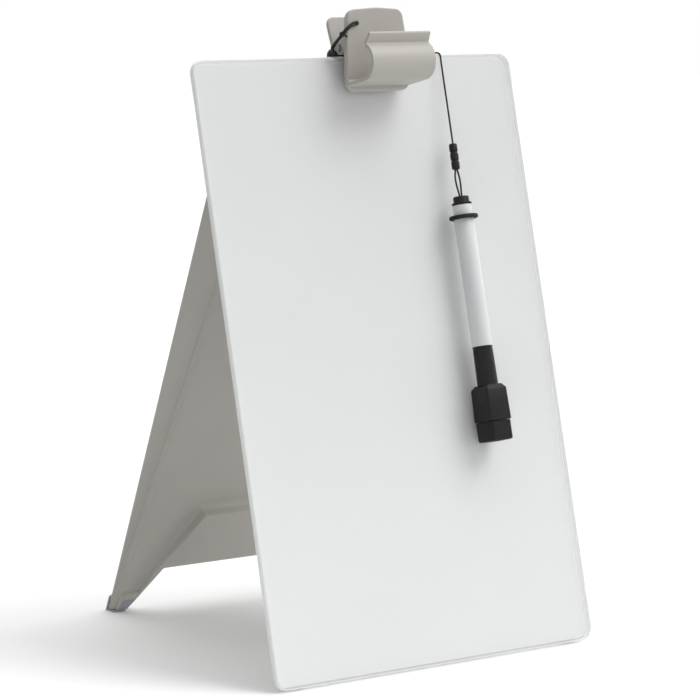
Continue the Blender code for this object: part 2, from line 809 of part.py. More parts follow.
def make_foot_caps():
    for name, side in (("foot_cap_left", -1), ("foot_cap_right", 1)):
        front = platform_front((0, -tip_length)) + PLATFORM_EDGE
        back = rear_of_foot
        sole_rise = SOLE_THICKNESS / math.cos(STAND_LEAN)
        outline = [
            (front, -floor_drop(front)),
            (back, -floor_drop(back)),
            (back, sole_rise - floor_drop(back)),
            (front, sole_rise - floor_drop(front)),
        ]
        inner = cut_half(tip_length)
        outer = FACE_FOOT_WIDTH / 2 + SOLE_PROUD
        cap = solid(name, slab(outline, side * inner, side * outer, in_side_plane), foot_rubber, stand)

        tongue = tongue_outline(GAP, cut_half(tongue_foot), cut_half(tongue_top))
        mesh = slab(mirrored(tongue, side), platform_front, SIDE_FOOT_DEPTH + 2 * GAP, in_front_plane)
        combine(cap, f"{name}_tongue", mesh, "UNION")

        plate_top = tip_length - HEEL_PLATE_HEIGHT
        plate_foot = floor_drop(back) - sole_rise / 2
        plate = rounded(
            [
                (cut_half(tongue_top), -plate_foot),
                (outer, -plate_foot),
                (outer, -plate_top),
                (cut_half(tongue_top), -plate_top),
            ],
            [0, 0, HEEL_PLATE_CORNER, 0],
        )
        mesh = slab(mirrored(plate, side), side_depth(plate_top) + GAP, back, in_front_plane)
        combine(cap, f"{name}_heel_plate", mesh, "UNION")
        outline, near, far = stud_box(0)
        combine(cap, f"{name}_stud", slab(mirrored(outline, side), near, far, in_front_plane), "UNION")


# Clip, in axes that start on the board's top edge

clip = axis("clip_frame", board, (CLIP_X, 0, GLASS_HEIGHT))
jaw = axis("clip_jaw_axis", clip, (0, PIVOT_BACK, PIVOT_RISE))


def plate_face(point):
    """The front plate's front face, which leans forward as it rises."""
    return -PLATE_FOOT_OUT - (point[1] + PLATE_DROP) * math.tan(PLATE_LEAN)


def plate_back(point):
    return plate_face(point) + PLATE_THICKNESS / math.cos(PLATE_LEAN)


def rear_face(point):
    """The rear jaw's inner face, which leans back as it rises."""
    return sheet_back + JAW_FOOT_OUT + (point[1] + JAW_DROP) * math.tan(JAW_LEAN)


def rear_back(point):
    return rear_face(point) + JAW_THICKNESS / math.cos(JAW_LEAN)


def trough_section():
    """The trough's wall, seen from the side: floor, round front, throat and flared lip."""
    centre = (-TROUGH_REACH, TROUGH_RADIUS - TROUGH_FLOOR_DROP)
    root_rise = TROUGH_RISE_AT_PLATE - TROUGH_FLOOR_DROP
    root = (plate_back((0, root_rise)) - PLATE_THICKNESS / 2, root_rise)
    bowl = arc(centre, TROUGH_RADIUS, -math.pi / 2, THROAT_ANGLE - 2 * math.pi, ROUND_STEPS // 2)
    reach = TROUGH_RADIUS + THROAT_RADIUS
    hinge = (centre[0] + reach * math.cos(THROAT_ANGLE), centre[1] + reach * math.sin(THROAT_ANGLE))
    throat = arc(hinge, THROAT_RADIUS, THROAT_ANGLE - math.pi, LIP_LEAN, CORNER_STEPS)
    lip = (throat[-1][0] - LIP_LENGTH * math.sin(LIP_LEAN), throat[-1][1] + LIP_LENGTH * math.cos(LIP_LEAN))
    path = [root] + bowl + throat[1:] + [lip]
    front = []
    back = []
    for index, point in enumerate(path):
        before = Vector(path[max(index - 1, 0)])
        after = Vector(path[min(index + 1, len(path) - 1)])
        along = (after - before).normalized()
        square = Vector((-along.y, along.x)) * TROUGH_WALL / 2
        front.append(tuple(Vector(point) + square))
        back.append(tuple(Vector(point) - square))
    end = arc(lip, TROUGH_WALL / 2, LIP_LEAN, LIP_LEAN + math.pi, CORNER_STEPS)
    return back + end[1:-1] + front[::-1]


def fillet_section():
    """The round corner between the plate's front face and the trough's floor."""
    floor = TROUGH_RISE_AT_PLATE - TROUGH_FLOOR_DROP + TROUGH_WALL / 2
    wall = plate_face((0, floor))
    centre = (wall - TROUGH_FILLET, floor + TROUGH_FILLET)
    curve = arc(centre, TROUGH_FILLET, -math.pi / 2, 0, CORNER_STEPS)
    sink = TROUGH_WALL / 2
    top = (plate_face(curve[-1]) + sink, curve[-1][1])
    return curve + [top, (wall + sink, floor - sink), (curve[0][0], floor - sink)]


def plate_outline():
    corners = [
        (PLATE_FOOT_WIDTH / 2, -PLATE_DROP),
        (PLATE_WAIST_WIDTH / 2 - PLATE_RIGHT_WAIST_DRAFT, PLATE_WAIST_RISE),
        (PLATE_TOP_WIDTH / 2 - PLATE_RIGHT_TOP_DRAFT, PLATE_RISE),
        (0, PLATE_RISE + PLATE_CROWN),
        (-PLATE_TOP_WIDTH / 2, PLATE_RISE),
        (-PLATE_WAIST_WIDTH / 2, PLATE_WAIST_RISE),
        (-PLATE_FOOT_WIDTH / 2, -PLATE_DROP),
    ]
    radii = [
        PLATE_FOOT_CORNER,
        PLATE_WAIST_RADIUS,
        PLATE_TOP_CORNER,
        PLATE_CROWN_RADIUS,
        PLATE_TOP_CORNER,
        PLATE_WAIST_RADIUS,
        PLATE_FOOT_CORNER,
    ]
    return rounded(corners, radii)


def jaw_ear(face, sink):
    """An ear that carries the pivot, from a jaw's inner face to its boss."""
    boss = arc((PIVOT_BACK, PIVOT_RISE), BOSS_RADIUS, 0, 2 * math.pi, ROUND_STEPS)[:-1]
    root = []
    for rise in (JAW_EAR_ROOT_RISE, JAW_EAR_ROOT_RISE + JAW_EAR_ROOT_HEIGHT):
        root.append((face((0, rise)) + sink, rise))
    return hull(boss + root)


def pivot_bore(half):
    bore = along_x(rod(PIVOT_RADIUS + RUNNING, -half, half))
    bore.transform(Matrix.Translation((0, PIVOT_BACK, PIVOT_RISE)))
    return bore


def make_front_jaw():
    plate = slab(plate_outline(), plate_face, plate_back, in_front_plane)
    front = bevel(solid("clip_front_jaw", plate, grey_plastic, clip), PLATE_EDGE)
    half = PLATE_FOOT_WIDTH / 2
    combine(front, "trough", slab(trough_section(), -half, half, in_side_plane), "UNION")
    combine(front, "trough_fillet", slab(fillet_section(), -half, half, in_side_plane), "UNION")
    ear = jaw_ear(plate_back, -JAW_EAR_SINK)
    for side in (-1, 1):
        outer = side * FRONT_EAR_OUTER
        mesh = slab(ear, outer, outer - side * JAW_EAR_WIDTH, in_side_plane)
        combine(front, f"front_ear_{side}", mesh, "UNION")
    combine(front, "front_pivot_bore", pivot_bore(FRONT_EAR_OUTER + OVERRUN))
    hole = rod(CORD_HOLE_RADIUS, -PLATE_THICKNESS, PLATE_THICKNESS)
    hole.transform(Matrix.Rotation(math.pi / 2, 4, "X"))
    middle = (plate_face((0, CORD_HOLE_RISE)) + plate_back((0, CORD_HOLE_RISE))) / 2
    hole.transform(Matrix.Translation((-CORD_HOLE_X, middle, CORD_HOLE_RISE)))
    combine(front, "cord_hole", hole)


def make_rear_jaw():
    corners = both_sides(
        [
            (JAW_FOOT_WIDTH / 2, -JAW_DROP),
            (JAW_FOOT_WIDTH / 2, 0),
            (JAW_TOP_WIDTH / 2, JAW_SHOULDER_RISE),
            (JAW_TOP_WIDTH / 2, JAW_RISE),
        ]
    )
    outline = rounded(corners, [JAW_CORNER] * len(corners))
    mesh = slab(outline, rear_face, rear_back, in_front_plane)
    back = bevel(solid("clip_rear_jaw", mesh, grey_plastic, jaw), JAW_EDGE)
    back.location = (0, -PIVOT_BACK, -PIVOT_RISE)
    ear = jaw_ear(rear_face, JAW_EAR_SINK)
    outer = FRONT_EAR_OUTER - JAW_EAR_WIDTH - JAW_EAR_CLEARANCE
    for side in (-1, 1):
        mesh = slab(ear, side * outer, side * (outer - JAW_EAR_WIDTH), in_side_plane)
        combine(back, f"rear_ear_{side}", mesh, "UNION")
    combine(back, "rear_pivot_bore", pivot_bore(FRONT_EAR_OUTER + OVERRUN))


def make_pivot_pin():
    half = FRONT_EAR_OUTER + GAP
    profile = [
        (0, -half - PIVOT_HEAD_THICKNESS),
        (PIVOT_HEAD_RADIUS, -half - PIVOT_HEAD_THICKNESS),
        (PIVOT_HEAD_RADIUS, -half),
        (PIVOT_RADIUS, -half),
        (PIVOT_RADIUS, half),
        (PIVOT_HEAD_RADIUS, half),
        (PIVOT_HEAD_RADIUS, half + PIVOT_HEAD_THICKNESS),
        (0, half + PIVOT_HEAD_THICKNESS),
    ]
    solid("clip_pivot_pin", along_x(turned(profile)), dark_steel, clip, (0, PIVOT_BACK, PIVOT_RISE))


def make_spring():
    """A torsion spring round the pivot pin. Its rear leg is drawn where the open jaw holds it."""
    lean = SPRING_WIRE_RADIUS + GAP
    tips = (
        (plate_back((0, SPRING_LEG_RISE)) + lean / math.cos(PLATE_LEAN), SPRING_LEG_RISE),
        (rear_face((0, SPRING_LEG_RISE)) - lean / math.cos(JAW_LEAN) - SPRING_LEG_TRAVEL, SPRING_LEG_RISE),
    )
    angles = []
    for (back, rise), side in zip(tips, (1, -1)):
        away = Vector((back - PIVOT_BACK, rise - PIVOT_RISE))
        angles.append(math.atan2(away.y, away.x) + side * math.acos(SPRING_RADIUS / away.length))
    start = angles[0]
    sweep = (angles[1] - start) % (2 * math.pi) + 2 * math.pi * SPRING_TURNS
    count = round(CURL_POINTS * sweep / (2 * math.pi))
    width = SPRING_PITCH * sweep / (2 * math.pi)
    coil = []
    for step in range(count + 1):
        angle = start + sweep * step / count
        across = width * (step / count - 1 / 2)
        back = PIVOT_BACK + SPRING_RADIUS * math.cos(angle)
        coil.append((across, back, PIVOT_RISE + SPRING_RADIUS * math.sin(angle)))
    points = [(coil[0][0], *tips[0])] + coil + [(coil[-1][0], *tips[1])]
    cord("clip_spring", points, SPRING_WIRE_RADIUS, dark_steel, clip, 1)
    places = np.array(coil)
    apart = np.linalg.norm(places[:, None] - places[None], axis=2)
    far = np.abs(np.subtract.outer(np.arange(len(places)), np.arange(len(places)))) > CURL_POINTS // 2
    print(f"clip_spring least gap to itself: {apart[far].min() - 2 * SPRING_WIRE_RADIUS:.5f} m")


def make_pads():
    outline = rectangle(PAD_WIDTH, PAD_HEIGHT, 0, (0, PAD_HEIGHT / 2 - PAD_DROP))
    front = slab(outline, lambda point: plate_back(point) + GAP, -GAP, in_front_plane)
    solid("clip_front_pad", front, pad_rubber, clip)
    rear = slab(outline, sheet_back + GAP, lambda point: rear_face(point) - GAP, in_front_plane)
    solid("clip_rear_pad", rear, pad_rubber, jaw).location = (0, -PIVOT_BACK, -PIVOT_RISE)


# Lanyard, in the clip's axes

hitch_places = [
    (-0.0142, -0.0082, 0.0170),
    (-0.0142, -0.0108, 0.0170),
    (-0.0149, -0.0129, 0.0169),
    (-0.0180, -0.0133, 0.0162),
    (-0.0210, -0.0129, 0.0146),
    (-0.0229, -0.0113, 0.0128),
]
neck_places = [
    (-0.0240, -0.0072, 0.0100),
    (-0.0244, -0.0043, 0.0086),
    (-0.0246, -0.0012, 0.0071),
    (-0.0246, 0.0007, 0.0060),
    (-0.0246, 0.0015, 0.0054),
]
top_run_places = [
    (-0.0214, 0.0020, 0.0010),
    (-0.0150, 0.0020, 0.00085),
    (0.0150, 0.0020, 0.00085),
    (0.0420, 0.0020, 0.00085),
    (0.0475, 0.0014, 0.0010),
    (0.0499, 0.0002, 0.0009),
    (0.0508, -0.0007, 0.0001),
    (0.0511, -0.0009, -0.0010),
]
drop_places = [
    (0.0511, -0.0010, -0.0014),
    (0.0509, -0.0012, -0.0060),
    (0.0502, -0.0021, -0.0200),
    (0.0488, -0.0040, -0.0400),
    (0.0475, -0.0056, -0.0557),
]
loop_places = {
    "pen_loop_left": [
        (0.0454, -0.0072, -0.0719),
        (0.0442, -0.0076, -0.0760),
        (0.0438, -0.0083, -0.0810),
        (0.0442, -0.0089, -0.0860),
        (0.0444, -0.0090, -0.0893),
    ],
    "pen_loop_right": [
        (0.0468, -0.0072, -0.0719),
        (0.0472, -0.0076, -0.0760),
        (0.0469, -0.0083, -0.0810),
        (0.0461, -0.0089, -0.0860),
        (0.0458, -0.0090, -0.0893),
    ],
}
swing = axis("pen_swing_axis", clip, (HANG_X, -HANG_OUT, -HANG_DROP))


def shifted(places, offset):
    return [tuple(Vector(place) + Vector(offset)) for place in places]


def make_lanyard():
    for name, side in (("hitch_cord_upper", 1), ("hitch_cord_lower", -1)):
        free_cord(name, shifted(hitch_places, (0, 0, side * STRAND_OFFSET)), black_cord, clip)
    for name, side in (("neck_cord_left", -1), ("neck_cord_right", 1)):
        free_cord(name, shifted(neck_places, (side * STRAND_OFFSET, 0, 0)), black_cord, clip)
    free_cord("lanyard_top_run", top_run_places, black_cord, clip)
    back = plate_back((0, CORD_HOLE_RISE)) + GAP + KNOT_RADIUS
    solid("stop_knot", ball(KNOT_RADIUS), black_cord, clip, (-CORD_HOLE_X, back, CORD_HOLE_RISE))
    solid("hitch_knot", ball(KNOT_RADIUS), black_cord, clip, (-KNOT_X, -KNOT_OUT, KNOT_RISE))
    side = [(BEAD_RADIUS * wide, BEAD_HEIGHT * high) for wide, high in BEAD_PROFILE_SHARES]
    bead = turned([(0, 0)] + side + [(0, BEAD_HEIGHT)], ROUND_STEPS // 2)
    solid("lanyard_bead", bead, black_plastic, clip, (-BEAD_X, BEAD_BACK, GAP))

    from_hang = (-HANG_X, HANG_OUT, HANG_DROP)
    free_cord("lanyard_drop", shifted(drop_places, from_hang), black_cord, swing)
    for name, places in loop_places.items():
        free_cord(name, shifted(places, from_hang), black_cord, swing)


def make_cord_lock():
    top = Vector(LOCK_TOP)
    foot = Vector(LOCK_FOOT)
    half = LOCK_LENGTH / 2
    profile = [(0, -half), (LOCK_RADIUS - LOCK_EDGE, -half), (LOCK_RADIUS, LOCK_EDGE - half)]
    for middle in (-half / 3, half / 3):
        profile += [
            (LOCK_RADIUS, middle - LOCK_GROOVE / 2),
            (LOCK_WAIST_RADIUS, middle - LOCK_GROOVE / 2),
            (LOCK_WAIST_RADIUS, middle + LOCK_GROOVE / 2),
            (LOCK_RADIUS, middle + LOCK_GROOVE / 2),
        ]
    profile += [(LOCK_RADIUS, half - LOCK_EDGE), (LOCK_RADIUS - LOCK_EDGE, half), (0, half)]
    mesh = turned(profile, ROUND_STEPS // 2)
    mesh.transform((top - foot).to_track_quat("Z", "Y").to_matrix().to_4x4())
    middle = (top + foot) / 2 + Vector((-HANG_X, HANG_OUT, HANG_DROP))
    solid("cord_lock", mesh, black_plastic, swing, middle)


# Pen, in axes along its own centre line that start at the seam between barrel and cap

pen = axis("pen_axis", swing, (PEN_X - HANG_X, HANG_OUT - PEN_OUT, HANG_DROP - PEN_SEAM_DROP))


def tube_profile(outer, bore):
    """A tube's profile from its outer side, listed from the foot up, and its bore radius."""
    return outer + [(bore, outer[-1][1]), (bore, outer[0][1])]


def make_barrel():
    foot = GAP / 2
    top = foot + BARREL_LENGTH
    collar = top - RING_BELOW_TOP
    outer = [
        (BARREL_OUTER_RADIUS - BARREL_EDGE, foot),
        (BARREL_OUTER_RADIUS, foot + BARREL_EDGE),
        (BARREL_OUTER_RADIUS, collar),
        (BARREL_COLLAR_RADIUS, collar),
        (BARREL_COLLAR_RADIUS, top - BARREL_EDGE),
        (BARREL_COLLAR_RADIUS - BARREL_EDGE, top),
    ]
    solid("pen_barrel", turned(tube_profile(outer, BARREL_BORE_RADIUS)), white_plastic, pen)
    half = RING_THICKNESS / 2
    ring = [
        (BARREL_OUTER_RADIUS + GAP, collar - half),
        (RING_RADIUS - RING_EDGE, collar - half),
        (RING_RADIUS, collar - half + RING_EDGE),
        (RING_RADIUS, collar + half - RING_EDGE),
        (RING_RADIUS - RING_EDGE, collar + half),
        (BARREL_OUTER_RADIUS + GAP, collar + half),
    ]
    solid("pen_ring", turned(ring), pad_rubber, pen)
    return top


def make_end_plug(top):
    flange = top + GAP
    crest = flange + PLUG_LENGTH
    stem = BARREL_BORE_RADIUS - GAP
    profile = [
        (0, top - PLUG_STEM),
        (stem, top - PLUG_STEM),
        (stem, flange),
        (PLUG_FLANGE_RADIUS, flange),
        (PLUG_FLANGE_RADIUS, flange + PLUG_FLANGE),
        (PLUG_RADIUS, flange + PLUG_FLANGE),
        (PLUG_RADIUS, crest - PLUG_EDGE),
        (PLUG_RADIUS - PLUG_EDGE, crest),
        (PLUG_RECESS_RADIUS, crest),
        (PLUG_RECESS_RADIUS, crest - PLUG_RECESS_DEPTH),
        (0, crest - PLUG_RECESS_DEPTH),
    ]
    solid("pen_end_plug", turned(profile), black_plastic, pen)


def make_pen_inside():
    collar = -GAP
    stem_top = NOSE_STEM
    tip = collar - NOSE_LENGTH
    profile = [
        (BARREL_BORE_RADIUS - GAP, stem_top),
        (BARREL_BORE_RADIUS - GAP, collar),
        (NOSE_RADIUS, collar - NOSE_COLLAR),
        (NOSE_TIP_RADIUS, tip),
        (NOSE_BORE_RADIUS, tip),
        (NOSE_BORE_RADIUS, stem_top),
    ]
    solid("pen_nose", turned(profile), black_plastic, pen)
    nib_foot = tip - NIB_OUT
    tip_ball = arc((0, nib_foot + NIB_BALL), NIB_BALL, -math.pi / 2, 0, CORNER_STEPS)
    nib_profile = [(0, nib_foot)] + [(r * NIB_RADIUS / NIB_BALL, z) for r, z in tip_ball[1:]]
    nib_top = nib_foot + NIB_LENGTH
    solid("pen_nib", turned(nib_profile + [(NIB_RADIUS, nib_top), (0, nib_top)]), nib_fibre, pen)
    foot = stem_top + GAP
    solid("ink_reservoir", rod(RESERVOIR_RADIUS, foot, foot + RESERVOIR_LENGTH), ink_fibre, pen)


def make_cap():
    top = -GAP / 2
    lip = top - CAP_LIP
    groove = lip - CAP_GROOVE
    foot = top - CAP_LENGTH
    block_top = foot - CAP_SHOULDER
    block_foot = block_top - BLOCK_HEIGHT
    profile = [
        (0, block_top - OVERRUN),
        (CAP_FOOT_RADIUS, block_top - OVERRUN),
        (CAP_FOOT_RADIUS, foot),
        (CAP_TOP_RADIUS, groove),
        (CAP_TOP_RADIUS - CAP_GROOVE_DEPTH, groove),
        (CAP_TOP_RADIUS - CAP_GROOVE_DEPTH, lip),
        (CAP_LIP_RADIUS, lip),
        (CAP_LIP_RADIUS, top),
        (0, top),
    ]
    cap = solid("pen_cap", turned(profile), black_plastic, pen)
    rings = []
    for height, inset in ((block_foot, 0), (block_top, BLOCK_DRAFT), (foot, SHOULDER_INSET)):
        outline = rectangle(BLOCK_WIDTH - 2 * inset, BLOCK_DEPTH - 2 * inset, BLOCK_CORNER)
        rings.append([in_plan(point, height) for point in outline])
    combine(cap, "cap_block", loft(rings), "UNION")
    combine(cap, "cap_bore", rod(CAP_BORE_RADIUS, top - CAP_BORE_DEPTH, top + OVERRUN))
    pocket_top = block_foot + MAGNET_THICKNESS + 2 * GAP
    combine(cap, "magnet_pocket", rod(MAGNET_RADIUS + GAP, block_foot - OVERRUN, pocket_top))

    magnet_foot = block_foot + GAP
    magnet = rod(MAGNET_RADIUS, magnet_foot, magnet_foot + MAGNET_THICKNESS)
    solid("cap_magnet", magnet, magnet_grey, pen)
    felt_top = block_foot - GAP
    outline = rectangle(BLOCK_WIDTH - 2 * FELT_INSET, BLOCK_DEPTH - 2 * FELT_INSET, FELT_CORNER)
    felt = slab(outline, felt_top - FELT_HEIGHT, felt_top, in_plan)
    bevel(solid("eraser_felt", felt, black_felt, pen), FELT_EDGE)


make_glass()
make_sheet()
make_bumpers()
make_rail()
make_hinge_pins()
make_stand()
make_foot_caps()
make_front_jaw()
make_rear_jaw()
make_pivot_pin()
make_spring()
make_pads()
make_lanyard()
make_cord_lock()
make_end_plug(make_barrel())
make_pen_inside()
make_cap()
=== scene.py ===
# %% [markdown]
# Desktop glass whiteboard. A glass board leans back on a folding stand. A spring clip with a pen trough grips
# its top edge, and a dry-wipe pen hangs from the clip on a thin lanyard. The CAD model gives every place and
# every size. This lesson gives it edges, cords and finishes, one piece at a time.

# %% Load the CAD frame
import math

import bmesh
import bpy
from mathutils import Matrix, Vector


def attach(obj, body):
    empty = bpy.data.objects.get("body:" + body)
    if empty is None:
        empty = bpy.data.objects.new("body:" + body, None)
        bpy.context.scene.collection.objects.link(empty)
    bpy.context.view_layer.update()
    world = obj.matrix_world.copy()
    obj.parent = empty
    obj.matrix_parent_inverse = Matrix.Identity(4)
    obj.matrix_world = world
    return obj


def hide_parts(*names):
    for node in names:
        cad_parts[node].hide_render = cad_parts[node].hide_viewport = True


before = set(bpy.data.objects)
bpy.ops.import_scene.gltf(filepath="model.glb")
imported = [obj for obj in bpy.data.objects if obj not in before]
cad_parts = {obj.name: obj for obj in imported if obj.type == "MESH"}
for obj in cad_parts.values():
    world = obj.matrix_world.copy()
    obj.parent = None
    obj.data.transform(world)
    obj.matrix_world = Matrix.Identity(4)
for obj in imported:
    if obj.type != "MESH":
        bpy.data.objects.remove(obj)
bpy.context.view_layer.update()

# %% [markdown]
# The board, the clip, the stand and the pen each have axes of their own, which makes their sizes easy to read:
# millimetres with X to the right, Y backwards from the writing face and Z up along the piece. A matrix takes each
# set of axes to the place that it has in the CAD model, and it is applied to the mesh, so every object stays at
# the origin.

# %% The axes of board, clip, stand and pen
MM = 0.001
BOARD_TILT = math.radians(14.15)
STAND_LEAN = math.radians(24.62)
BOARD_FOOT = (0, -120.924, 1.778)
CLIP_PLACE = (10.0, 0, 360)
HINGE_PLACE = (0, 14.5, 320)
PEN_SEAM = (45.1, -9.0, -178.65)


def moved(x, y, z):
    """A shift in millimetres."""
    return Matrix.Translation((x * MM, y * MM, z * MM))


board_axes = moved(*BOARD_FOOT) @ Matrix.Rotation(-BOARD_TILT, 4, "X")
clip_axes = board_axes @ moved(*CLIP_PLACE)
stand_axes = board_axes @ moved(*HINGE_PLACE) @ Matrix.Rotation(BOARD_TILT + STAND_LEAN, 4, "X")
pen_axes = clip_axes @ moved(*PEN_SEAM)
print("the pen's seam is at", [round(v, 4) for v in pen_axes.translation])

# %% [markdown]
# The photograph was taken from about 1.7 metres away with a long lens, a little above the board and well to its
# left. The camera comes first.

# %% Camera
CAMERA_AZIMUTH = math.radians(34.782)
CAMERA_ELEVATION = math.radians(7.733)
CAMERA_PLACE = (-0.97355, -1.42882, 0.40728)
CAMERA_LENS = 147.92
SENSOR_WIDTH = 36
level = math.cos(CAMERA_ELEVATION)
sight = Vector((math.sin(CAMERA_AZIMUTH) * level, math.cos(CAMERA_AZIMUTH) * level, -math.sin(CAMERA_ELEVATION)))
camera = bpy.data.objects.new("camera", bpy.data.cameras.new("camera"))
camera.data.lens = CAMERA_LENS
camera.data.sensor_width = SENSOR_WIDTH
camera.location = CAMERA_PLACE
camera.rotation_euler = sight.to_track_quat("-Z", "Y").to_euler()
bpy.context.scene.collection.objects.link(camera)
bpy.context.scene.camera = camera
bpy.context.scene.view_settings.view_transform = "Standard"
print("camera at", [round(v, 3) for v in camera.location])

# %% [markdown]
# Every finish here is one Principled shader, whose colour, roughness and height can follow a pattern. The helpers
# keep that short: one turns sRGB hex values into the linear numbers that a shader wants, one adds a node with its
# settings and links, and one lets a pattern drive the shader, with its relief as a real height.

# %% Helpers for finishes


def linear(hex_code):
    """A linear colour from an sRGB hex code."""
    channels = [int(hex_code[place : place + 2], 16) / 255 for place in (0, 2, 4)]
    return [value / 12.92 if value <= 0.04045 else ((value + 0.055) / 1.055) ** 2.4 for value in channels]


def first(value):
    """The first output that a node has in use, or the value as it is."""
    if isinstance(value, bpy.types.Node):
        return next(output for output in value.outputs if output.enabled)
    return value


def add(tree, kind, inputs=None, **settings):
    """One node, with its settings, values and links."""
    node = tree.nodes.new(kind)
    for name, value in settings.items():
        setattr(node, name, value)
    for name, value in (inputs or {}).items():
        value = first(value)
        if isinstance(value, bpy.types.NodeSocket):
            tree.links.new(value, node.inputs[name])
        else:
            node.inputs[name].default_value = value
    return node


def finish(name, hex_code, roughness, **sockets):
    """A plain Principled finish."""
    made = bpy.data.materials.new(name)
    made.use_nodes = True
    made.diffuse_color = (*linear(hex_code), 1)
    shader = made.node_tree.nodes["Principled BSDF"]
    shader.inputs["Base Color"].default_value = (*linear(hex_code), 1)
    shader.inputs["Roughness"].default_value = roughness
    for socket, value in sockets.items():
        shader.inputs[socket.replace("_", " ")].default_value = value
    return made


def patterned(made, pattern, tones=None, gloss=None, raised_mm=0):
    """Lets a pattern move a finish's colour and roughness between two values, and raise it by a height."""
    tree = made.node_tree
    driven = {}
    if tones:
        ends = {"A": (*linear(tones[0]), 1), "B": (*linear(tones[1]), 1)}
        driven["Base Color"] = add(tree, "ShaderNodeMix", {"Factor": pattern, **ends}, data_type="RGBA")
    if gloss:
        ends = {"To Min": gloss[0], "To Max": gloss[1]}
        driven["Roughness"] = add(tree, "ShaderNodeMapRange", {"Value": pattern, **ends})
    if raised_mm:
        driven["Normal"] = add(tree, "ShaderNodeBump", {"Height": pattern, "Distance": raised_mm * MM})
    for socket, node in driven.items():
        tree.links.new(first(node), tree.nodes["Principled BSDF"].inputs[socket])
    return made


print("finish helpers ready")

# %% [markdown]
# The lanyard is a round cord of braided polyester, a good millimetre thick. Its yarns cross in a fine diamond
# pattern, which shows as a faint sparkle along a matt black line. The pattern follows the cord's own UV map,
# with U along the cord in metres and V once round it: two sine waves that run round it in opposite directions.

# %% Finish: braided polyester
YARN_PITCH = 1.6 * MM
YARNS_ROUND = 4
braided_polyester = finish("braided_polyester", "0E0F10", 0.72)
tree = braided_polyester.node_tree
along = add(tree, "ShaderNodeSeparateXYZ", {"Vector": add(tree, "ShaderNodeUVMap", uv_map="along_cord")}).outputs
run = add(tree, "ShaderNodeMath", {0: along["X"], 1: 2 * math.pi / YARN_PITCH}, operation="MULTIPLY")
lap = add(tree, "ShaderNodeMath", {0: along["Y"], 1: 2 * math.pi * YARNS_ROUND}, operation="MULTIPLY")
waves = []
for operation in ("ADD", "SUBTRACT"):
    phase = add(tree, "ShaderNodeMath", {0: run, 1: lap}, operation=operation)
    waves.append(add(tree, "ShaderNodeMath", {0: phase}, operation="SINE"))
crossing = add(tree, "ShaderNodeMath", {0: waves[0], 1: waves[1]}, operation="MULTIPLY")
yarn = add(tree, "ShaderNodeMapRange", {"Value": crossing, "From Min": -1.0, "From Max": 1.0})
patterned(braided_polyester, yarn, tones=("060607", "1A1B1C"), gloss=(0.85, 0.62), raised_mm=0.12)
print("braided_polyester: yarn pitch", YARN_PITCH)

# %% [markdown]
# The small fittings are injection-moulded polypropylene, coloured black. It has a half gloss with the faint
# waviness of a moulded skin, and handling leaves it a little uneven in gloss. One noise can do all of that, with
# its grain size in millimetres, and most finishes below are made the same way.

# %% Finish: moulded black polypropylene


def grain(tree, size_mm, detail=3.0, stretch=(1, 1, 1)):
    """A noise whose grains have a real size, on the object's own coordinates."""
    place = add(tree, "ShaderNodeTexCoord").outputs["Object"]
    scaled = add(tree, "ShaderNodeMapping", {"Vector": place, "Scale": stretch})
    return add(tree, "ShaderNodeTexNoise", {"Vector": scaled, "Scale": 1 / (size_mm * MM), "Detail": detail})


def grained(
    name, hex_code, roughness, size_mm, detail=3.0, stretch=(1, 1, 1),
    tones=None, gloss=None, raised_mm=0, **sockets
):
    """A finish with one grain of a real size."""
    made = finish(name, hex_code, roughness, **sockets)
    return patterned(made, grain(made.node_tree, size_mm, detail, stretch), tones, gloss, raised_mm)


black_polypropylene = grained(
    "black_moulded_polypropylene", "0D0E0E", 0.38, 1.5,
    tones=("0A0B0B", "121313"), gloss=(0.3, 0.46), raised_mm=0.01, IOR=1.49, Specular_IOR_Level=0.28,
)
print("black polypropylene ready")

# %% [markdown]
# Most pieces are made in mesh code, and each step that repeats has a helper. Bead, cord lock and pen are round,
# so they are turned from a profile, as on a lathe. The Screw modifier could do that too, but here a point on the
# axis closes an end without a merge. Like all helpers for solids, this one takes millimetres and makes metres.

# %% A solid turned on a lathe


def lathe(profile, steps):
    """A solid turned about Z from (radius, height) points. A profile off the axis closes on itself."""
    mesh = bmesh.new()
    rings = []
    faces = []
    turns = [2 * math.pi * step / steps for step in range(steps)]
    for radius, height in profile:
        around = turns if radius else turns[:1]
        places = [Vector((radius * math.cos(a), radius * math.sin(a), height)) for a in around]
        rings.append([mesh.verts.new(place * MM) for place in places])
    if profile[0][0] > 0:
        rings.append(rings[0])
    for lower, upper in zip(rings, rings[1:]):
        for step in range(steps):
            after = (step + 1) % steps
            spots = ((lower, step), (lower, after), (upper, after), (upper, step))
            corners = list(dict.fromkeys(ring[place % len(ring)] for ring, place in spots))
            if len(corners) > 2:
                faces.append(mesh.faces.new(corners))
    bmesh.ops.recalc_face_normals(mesh, faces=faces)
    return mesh


print("lathe ready")

# %% [markdown]
# The last steps repeat too: put a mesh in its place, give it its finish and smooth shading with sharp creases,
# round its edges a little, and let it ride on its body and stand for its CAD nodes.

# %% Helpers that finish a piece
CREASE = 32


def link(name, data):
    made = bpy.data.objects.new(name, data)
    bpy.context.scene.collection.objects.link(made)
    return made


def shade(data, angle=CREASE):
    data.shade_smooth()
    data.set_sharp_from_angle(angle=math.radians(angle))


def plain(name, mesh):
    """Turns a finished draft into mesh data."""
    data = bpy.data.meshes.new(name)
    mesh.to_mesh(data)
    mesh.free()
    return data


